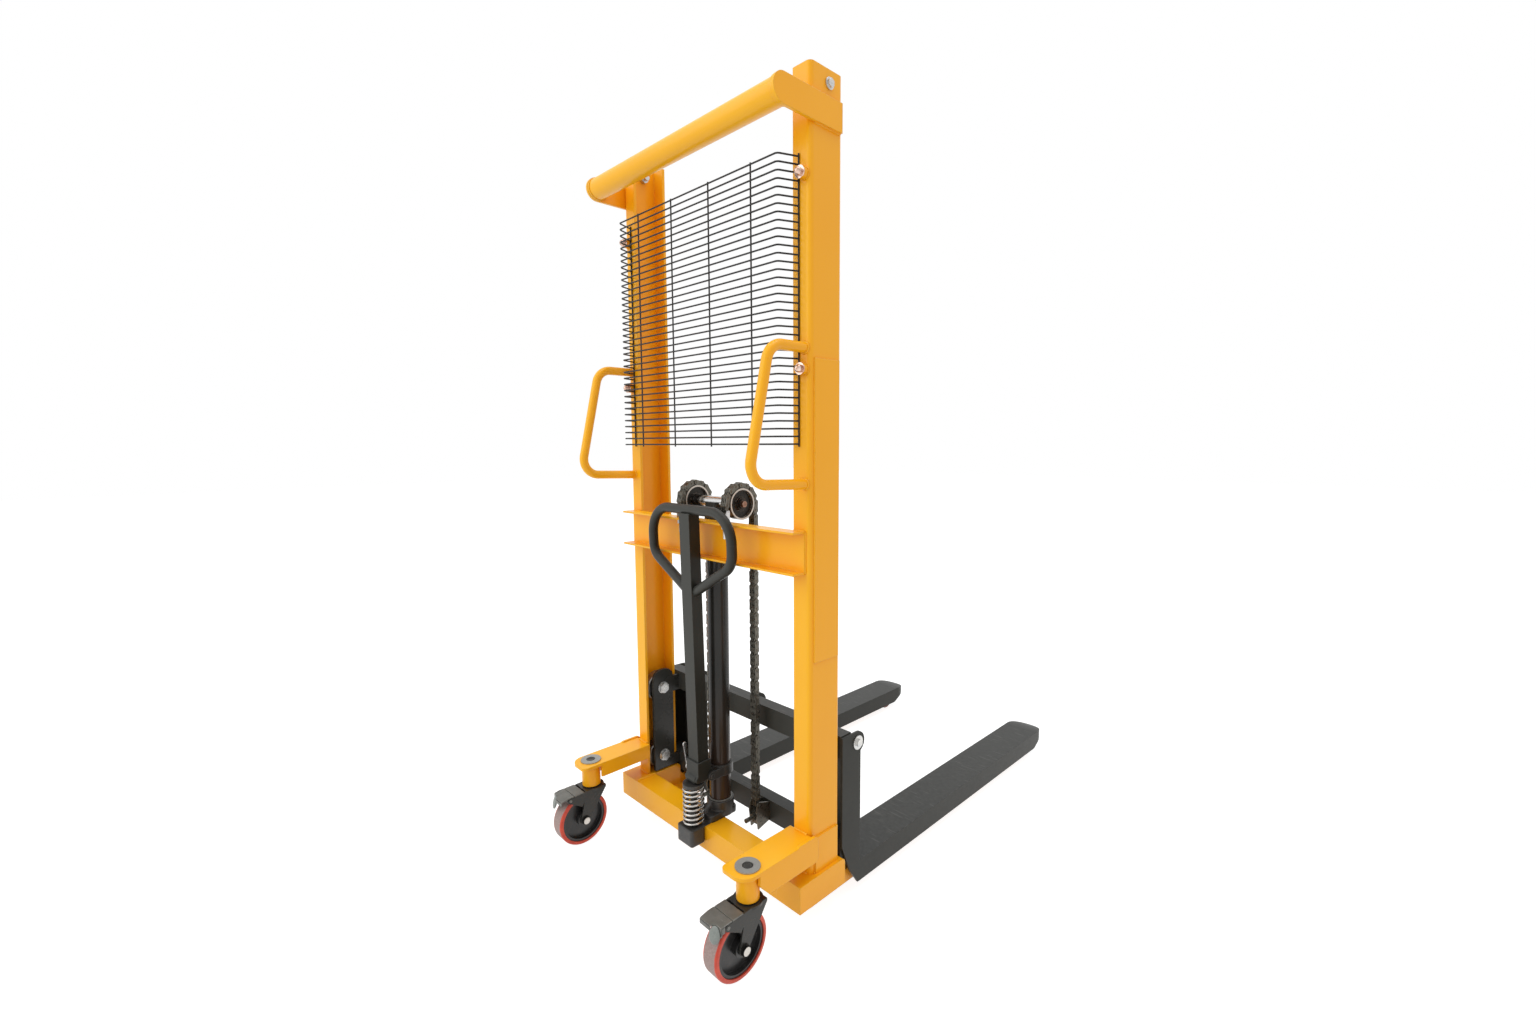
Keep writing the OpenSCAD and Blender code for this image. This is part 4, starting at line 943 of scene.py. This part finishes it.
# Spare links, standing for those the chain pays out as the ram rises, lie between these heights at
# rest
SPARE_LINKS = 39
SPARE_LOW = 992.95
SPARE_HIGH = SPARE_LOW + PITCH - 14.0
SPARE_NARROW = 0.985


def plate_outline(big, steps=7):
    """Waisted outline of a link plate between joints at 0 and one pitch along Y, in millimetres."""
    points = []
    for end, sign in ((PITCH, 1), (0, -1)):
        for k in range(steps):
            a = math.radians(-END_ARC + 2 * END_ARC * k / (steps - 1))
            points.append((end + sign * big * math.cos(a), sign * big * math.sin(a)))
        points.append((PITCH / 2, sign * (big - WAIST_IN)))
    return points


def add_row(bm, loops):
    """A closed form through a row of loops of points."""
    rows = [[bm.verts.new(p) for p in loop] for loop in loops]
    cap(bm, rows[0], rows[-1])
    for a, b in zip(rows, rows[1:]):
        bridge(bm, a, b)


def link_object(name, pinned, big):
    """A chain link from a joint at the origin to one a pitch away along Y."""
    bm = bmesh.new()
    for slot in (-3, -1, 1, 3) if pinned else (-2, 0, 2):
        middle = slot * LEAF_STEP
        add_row(bm, [[(x, y, z) for y, z in plate_outline(big)]
                     for x in (middle - LEAF / 2, middle + LEAF / 2)])
    if pinned:
        rings = [(-PIN_HALF - PIN_DOME, PIN_R * 0.7), (-PIN_HALF, PIN_R),
                 (PIN_HALF, PIN_R), (PIN_HALF + PIN_DOME, PIN_R * 0.7)]
        for y in (0, PITCH):
            add_row(bm, [[(x, y + r * math.cos(a), r * math.sin(a)) for a in angles(12)]
                         for x, r in rings])
    bmesh.ops.scale(bm, vec=(0.001, 0.001, 0.001), verts=bm.verts)
    return linked(name, mesh_from(bm, name))


def laying_tree():
    """Geometry Nodes: lays two kinds of link, by turns, on points with a turn and a stretch."""
    group = bpy.data.node_groups.new("lay_links", "GeometryNodeTree")
    for label, kind in (("Geometry", "NodeSocketGeometry"), ("Inner link", "NodeSocketObject"),
                        ("Outer link", "NodeSocketObject"), ("First outer", "NodeSocketInt"),
                        ("Steel", "NodeSocketMaterial")):
        group.interface.new_socket(label, in_out="INPUT", socket_type=kind)
    group.interface.new_socket("Geometry", in_out="OUTPUT", socket_type="NodeSocketGeometry")
    tree = Tree(group)
    given = tree.node("NodeGroupInput").outputs

    def named(label):
        return tree.node("GeometryNodeInputNamedAttribute", {"data_type": "FLOAT_VECTOR"},
                         {"Name": label}).outputs[0]

    count = tree.level("GeometryNodeInputIndex") + Level(group, given["First outer"])
    odd = count.math("MODULO", count, 2)
    join = tree.node("GeometryNodeJoinGeometry")
    for piece, pick in (("Outer link", odd), ("Inner link", 1 - odd)):
        info = tree.node("GeometryNodeObjectInfo", sockets={"Object": given[piece]})
        put = tree.node("GeometryNodeInstanceOnPoints", sockets={
            "Points": given["Geometry"],
            "Selection": pick,
            "Instance": info.outputs["Geometry"],
            "Rotation": named("turn"),
            "Scale": named("stretch"),
        })
        group.links.new(put.outputs[0], join.inputs[0])
    real = tree.node("GeometryNodeRealizeInstances", sockets={0: join.outputs[0]})
    coat = tree.node("GeometryNodeSetMaterial",
                     sockets={"Geometry": real.outputs[0], "Material": given["Steel"]})
    tree.node("NodeGroupOutput", sockets={0: coat.outputs[0]})
    return group


def lay_links(name, places, first_outer, tree, inner, outer):
    """Plain mesh of links laid on (point, turn about X, length share) by Geometry Nodes."""
    mesh = bpy.data.meshes.new(name)
    mesh.from_pydata([point for point, turn, share in places], [], [])
    for label, values in (("turn", [(turn, 0, 0) for point, turn, share in places]),
                          ("stretch", [(1, share, 1) for point, turn, share in places])):
        layer = mesh.attributes.new(label, "FLOAT_VECTOR", "POINT")
        layer.data.foreach_set("vector", [v for value in values for v in value])
    obj = linked(name, mesh)
    laid = obj.modifiers.new("links", "NODES")
    laid.node_group = tree
    values = {"Inner link": inner, "Outer link": outer, "First outer": first_outer, "Steel": CHAIN}
    for item in tree.interface.items_tree:
        if item.in_out == "INPUT" and item.name in values:
            laid[item.identifier] = values[item.name]
    return evaluated(obj)


def chains():
    """Front strands, wraps and rear strands of both chains."""
    inner = link_object("inner_link", False, WRAP_BIG)
    outer = link_object("outer_link", True, WRAP_BIG)
    strand_inner = link_object("strand_inner_link", False, STRAND_BIG)
    strand_outer = link_object("strand_outer_link", True, STRAND_BIG)
    tree = laying_tree()
    for side, hand in ((1, "right"), (-1, "left")):
        x = side * CHAIN_X
        places = [(at(x, RAM_Y + CHAIN_R, PULLEY_Z - i * PITCH), DOWN, 1)
                  for i in range(STRAND_LINKS)]
        mesh = lay_links("front", places, 1, tree, strand_inner, strand_outer)
        strand = make_piece("front_chain_" + hand, mesh, CHAIN, "carriage", 35)
        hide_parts("chain_front")
        at(x, 0, 172.8)
        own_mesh(strand)

        places = []
        for i in range(WRAP_LINKS):
            a = i * WRAP_ANGLE
            point = at(x, RAM_Y + CHAIN_R * math.cos(a), PULLEY_Z + CHAIN_R * math.sin(a))
            places.append((point, a + math.pi / 2 + WRAP_ANGLE / 2, 1))
        mesh = lay_links("wrap", places, 0, tree, inner, outer)
        wrap = make_piece("pulley_chain_" + hand, mesh, CHAIN, "ram", 35)
        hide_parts("chain_wraps")

        # one true link shows at rest, and behind its plates lie the spare ones
        places = [(at(x, RAM_Y - CHAIN_R, PULLEY_Z), DOWN, 1)]
        mesh = lay_links("rear", places, 0, tree, inner, outer)
        link = make_piece("rear_link_" + hand, mesh, CHAIN, "ram", 35)
        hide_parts("chain_rear")

        # the joints stand where a share that eases in and out has grown by even steps
        shares = [0.5 - math.sin(math.asin(1 - 2 * i / SPARE_LINKS) / 3)
                  for i in range(SPARE_LINKS + 1)]
        ends = [SPARE_LOW + (SPARE_HIGH - SPARE_LOW) * share for share in shares]
        places = [(at(x, RAM_Y - CHAIN_R, b), DOWN, (b - a) / PITCH)
                  for a, b in zip(ends, ends[1:])]
        mesh = lay_links("stack", places, 1, tree, inner, outer)
        for v in mesh.vertices:
            v.co.x = x / 1000 + (v.co.x - x / 1000) * SPARE_NARROW
        stack = make_piece("rear_chain_" + hand, mesh, CHAIN, None, 35)
        at(x, 0, SPARE_LOW)
        at(x, 0, SPARE_HIGH)
        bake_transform(stack)
    for obj in (inner, outer, strand_inner, strand_outer):
        bpy.data.objects.remove(obj)


def pump_spring():
    """The pump's return spring: one wire whose end coils lie flat."""
    high, turns, mean, wire = 245.2, 8.3, 26.5, 3.3
    steps, start, flat_end = 300, 0.6, 0.03
    points = []
    for i in range(steps + 1):
        t = i / steps
        a = 2 * math.pi * turns * t + start
        lift = min(max((t - flat_end) / (1 - 2 * flat_end), 0), 1)
        z = SPRING_LOW + wire + (high - SPRING_LOW - 2 * wire) * lift
        points.append(at(mean * math.cos(a), PUMP_Y + mean * math.sin(a), z))
    spring = make_piece("spring_wire", swept(points, wire / 1000, 14), SPRING, "frame", 60)
    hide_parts("pump_spring")
    at(0, PUMP_Y, SPRING_LOW)
    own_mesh(spring)


# Castings and pressings


def cast_form(node, finish, body, cell, passes):
    """A casting with its fillets: the node's own mesh, rebuilt in small cells and smoothed."""
    obj = linked("cast", nodes[node].data.copy())
    cells = obj.modifiers.new("cells", "REMESH")
    cells.mode = "VOXEL"
    cells.voxel_size = cell
    soft = obj.modifiers.new("soft", "SMOOTH")
    soft.factor = 0.5
    soft.iterations = passes
    piece = make_piece(node + "_form", evaluated(obj), finish, body, 60)
    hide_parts(node)


# Fork tips in metres: the CAD tip tapers over TIP_RUN and has corners of TIP_CORNER
FORK_MID = 0.3135
FORK_HALF = 0.0585
FORK_LOW = 0.028
FORK_TOP = 0.086
TIP_Y = 1.327 + MAST_Y
TIP_START = TIP_Y - 0.105
TIP_RUN = 0.090
TIP_CORNER = 0.038
TIP_OVAL = 0.064
TIP_CUTS = (100, 85, 75, 65, 55, 45, 36, 28, 20, 13, 7)


def along_tip(y):
    """0 where a fork's taper starts and 1 at its end."""
    return max(0, (y - (TIP_Y - TIP_RUN)) / TIP_RUN)


def cut_tip(bm, side):
    """Cuts a fork's tip into a grid of small faces."""
    cuts = [((0, TIP_Y - back / 1000, 0), (0, 1, 0)) for back in TIP_CUTS]
    cuts += [((side * (FORK_MID + across / 1000), 0, 0), (1, 0, 0))
             for across in range(-50, 51, 10)]
    for place, normal in cuts:
        tip = [v for v in bm.verts if v.co.y > TIP_START or normal[1]]
        inside = set(tip)
        tip += [e for e in bm.edges if inside.issuperset(e.verts)]
        tip += [f for f in bm.faces if inside.issuperset(f.verts)]
        bmesh.ops.bisect_plane(bm, geom=tip, plane_co=place, plane_no=normal)


def ease_tip(bm):
    """Moves a cut tip's points to a full round in plan and a gentle droop from the side."""
    straight = FORK_HALF - TIP_CORNER
    for v in bm.verts:
        if v.co.y < TIP_START:
            continue
        off = min(abs(abs(v.co.x) - FORK_MID), FORK_HALF)
        bend = max(0, off - straight)
        square = TIP_Y - TIP_CORNER + math.sqrt(max(0, TIP_CORNER ** 2 - bend ** 2))
        oval = TIP_Y - TIP_OVAL * (1 - math.sqrt(max(0, 1 - (off / FORK_HALF) ** 2)))
        along = along_tip(v.co.y)
        low = FORK_LOW + 0.024 * along
        share = (v.co.z - low) / (FORK_TOP - 0.020 * along - low)
        v.co.y = TIP_START + (v.co.y - TIP_START) * (oval - TIP_START) / (square - TIP_START)
        along = along_tip(v.co.y)
        low = FORK_LOW + 0.048 * along - 0.016 * along ** 2
        v.co.z = low + share * (FORK_TOP + 0.004 * along - 0.016 * along ** 2 - low)


def fork_tips():
    """Forks with fully rounded, gently drooping tips: the nodes' meshes, cut finer and eased."""
    for side, hand in ((1, "right"), (-1, "left")):
        node = "fork_" + hand
        bm = bmesh.new()
        bm.from_mesh(nodes[node].data)
        cut_tip(bm, side)
        ease_tip(bm)
        mesh = mesh_from(bm, node, outward=False)
        piece = make_piece(node + "_form", mesh, DARK, "carriage", 35)
        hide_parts(node)


def pedal_slope(x, y):
    """Height of a brake pedal's plate, which dips behind its bend."""
    return 161.4 + min(0, y + 268) * 0.2


def caster_fittings():
    """Crown covers, brake pedals with their toe lobes and the heads of the caster bolts."""
    mid = CASTER_X
    inner, outer = mid - 30.7, mid + 30.7
    pedal_pin = at(mid, PEDAL_Y, PEDAL_Z)
    for side, hand in ((1, "right"), (-1, "left")):
        def place(mesh, s=side):
            return mesh if s > 0 else flipped(mesh)

        cover = block(inner, outer, -250, -220, 161.2, 4)
        obj = make_piece("crown_cover_" + hand, place(cover), PEDAL, "caster_" + hand)

        plate = slab([(inner, -252), (inner, -268), (inner, -289), (inner + 2, -291),
                      (mid + 3, -291), (mid + 8, -284), (mid + 15, -281),
                      (outer, -281), (outer, -268), (outer, -252)], pedal_slope, 2.8)
        mesh = joined([
            plate,
            block(inner, mid + 3, -291, -289, 156.0, 11),
            block(outer - 2.5, outer, -281, -271, 158.6, 15),
            block(mid + 12, outer, -281.5, -279.5, 158.6, 20),
            turned([(0, -25.6), (8, -25.6), (8, 25.6), (0, 25.6)], pedal_pin, (1, 0, 0)),
            turned([(0, -32), (4, -32), (4, 32), (0, 32)], pedal_pin, (1, 0, 0)),
            block(mid - 20, mid + 20, -265, -259, 160, 6),
        ], "pedal")
        obj = make_piece("pedal_plate_" + hand, place(mesh), PEDAL, "pedal_" + hand, 30)
        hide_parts("brake_pedal_" + hand)

        toe = turned([(0, -3), (11, -3), (13.5, -1), (13.5, 1), (11, 3), (5, 3.6), (0, 3.8)],
                     Vector((0, 0, 0)), (0.25, -0.90, 0.34))
        toe.transform(Matrix.Diagonal((1, 1, 1.4, 1)))
        toe.transform(Matrix.Translation(at(mid + 15, -287.5, 140)))
        obj = make_piece("toe_pad_" + hand, place(toe), TOE, "pedal_" + hand, 50)

        head = turned([(0, 233.4), (12.4, 233.4), (12.4, 235.4), (11.6, 236.2), (8.0, 236.2),
                       (7.4, 235.2), (0, 235.2)], at(mid, KINGPIN_Y, 0))
        obj = make_piece("bolt_head_" + hand, place(head), OILY, "frame", 30)


def cup_ring():
    """The light bead where the cylinder stands in the pump's cup."""
    ring = bead(ring_points(at(0, RAM_Y, 178.6), (0, 0, 1), 0.0312, 96), 0.0024, True)
    obj = make_piece("cup_bead", ring, PEDAL, "frame")


# Floor, light and backdrop

WHITE = (1, 1, 1, 1)
# The floor glows by itself and adds what light falls on it, so it is white outside its shadow
FLOOR_GLOW = 0.86
FLOOR_MATT = (0.42, 0.42, 0.42, 1)
FLOOR_PLAIN = (0.75, 0.75, 0.75, 1)
SKY_LIGHT = 0.82


def backdrop_rays(tree):
    """1 for rays that see the backdrop: the camera's, and those that metal or glass sends on."""
    rays = tree.node("ShaderNodeLightPath").outputs
    camera, glossy, through = (Level(tree.tree, rays["Is " + kind + " Ray"])
                               for kind in ("Camera", "Glossy", "Transmission"))
    return camera.most(glossy).most(through)


def lamp_at(name, place, aim, size, power):
    """A square soft lamp that looks at a point."""
    data = bpy.data.lights.new(name, "AREA")
    data.size = size
    data.energy = power
    obj = linked(name, data)
    obj.location = place
    obj.rotation_mode = "QUATERNION"
    obj.rotation_quaternion = (Vector(aim) - Vector(place)).to_track_quat("-Z", "Y")


def studio():
    """Plain pale floor under soft light."""
    bpy.ops.mesh.primitive_plane_add(size=40, location=(0, 0, -0.0005))
    floor = bpy.context.object
    floor.name = "floor"
    f = Finish("floor")
    lamp = f.node("ShaderNodeEmission", sockets={"Color": WHITE, "Strength": FLOOR_GLOW})
    matt = f.node("ShaderNodeBsdfDiffuse", sockets={"Color": FLOOR_MATT})
    both = f.node("ShaderNodeAddShader", sockets={0: lamp.outputs[0], 1: matt.outputs[0]})
    plain = f.node("ShaderNodeBsdfDiffuse", sockets={"Color": FLOOR_PLAIN})
    pick = f.node("ShaderNodeMixShader",
                  sockets={0: backdrop_rays(f), 1: plain.outputs[0], 2: both.outputs[0]})
    f.node("ShaderNodeOutputMaterial", sockets={"Surface": pick.outputs[0]})
    floor.data.materials.append(f.material)

    world = bpy.data.worlds.new("studio")
    scene.world = world
    world.use_nodes = True
    sky = Tree(world.node_tree)
    soft = sky.node("ShaderNodeBackground", sockets={"Color": WHITE, "Strength": SKY_LIGHT})
    seen = sky.node("ShaderNodeBackground", sockets={"Color": WHITE, "Strength": 1.0})
    pick = sky.node("ShaderNodeMixShader",
                    sockets={0: backdrop_rays(sky), 1: soft.outputs[0], 2: seen.outputs[0]})
    sky.node("ShaderNodeOutputWorld", sockets={"Surface": pick.outputs[0]})

    lamp_at("key", (-1.6, -4.6, 3.6), (0, -0.4, 0.9), size=5.0, power=88)
    lamp_at("top", (0.4, 0.2, 5.2), (0, 0, 0.6), size=3.0, power=80)
    scene.view_settings.view_transform = "Standard"


set_camera()
dress_nodes()
frame_welds()
dark_welds()
chains()
pump_spring()
cast_form("pump_body", CAST, "frame", cell=0.0016, passes=9)
cast_form("lever_socket", DARK, "lever", cell=0.0012, passes=6)
fork_tips()
caster_fittings()
cup_ring()
studio()
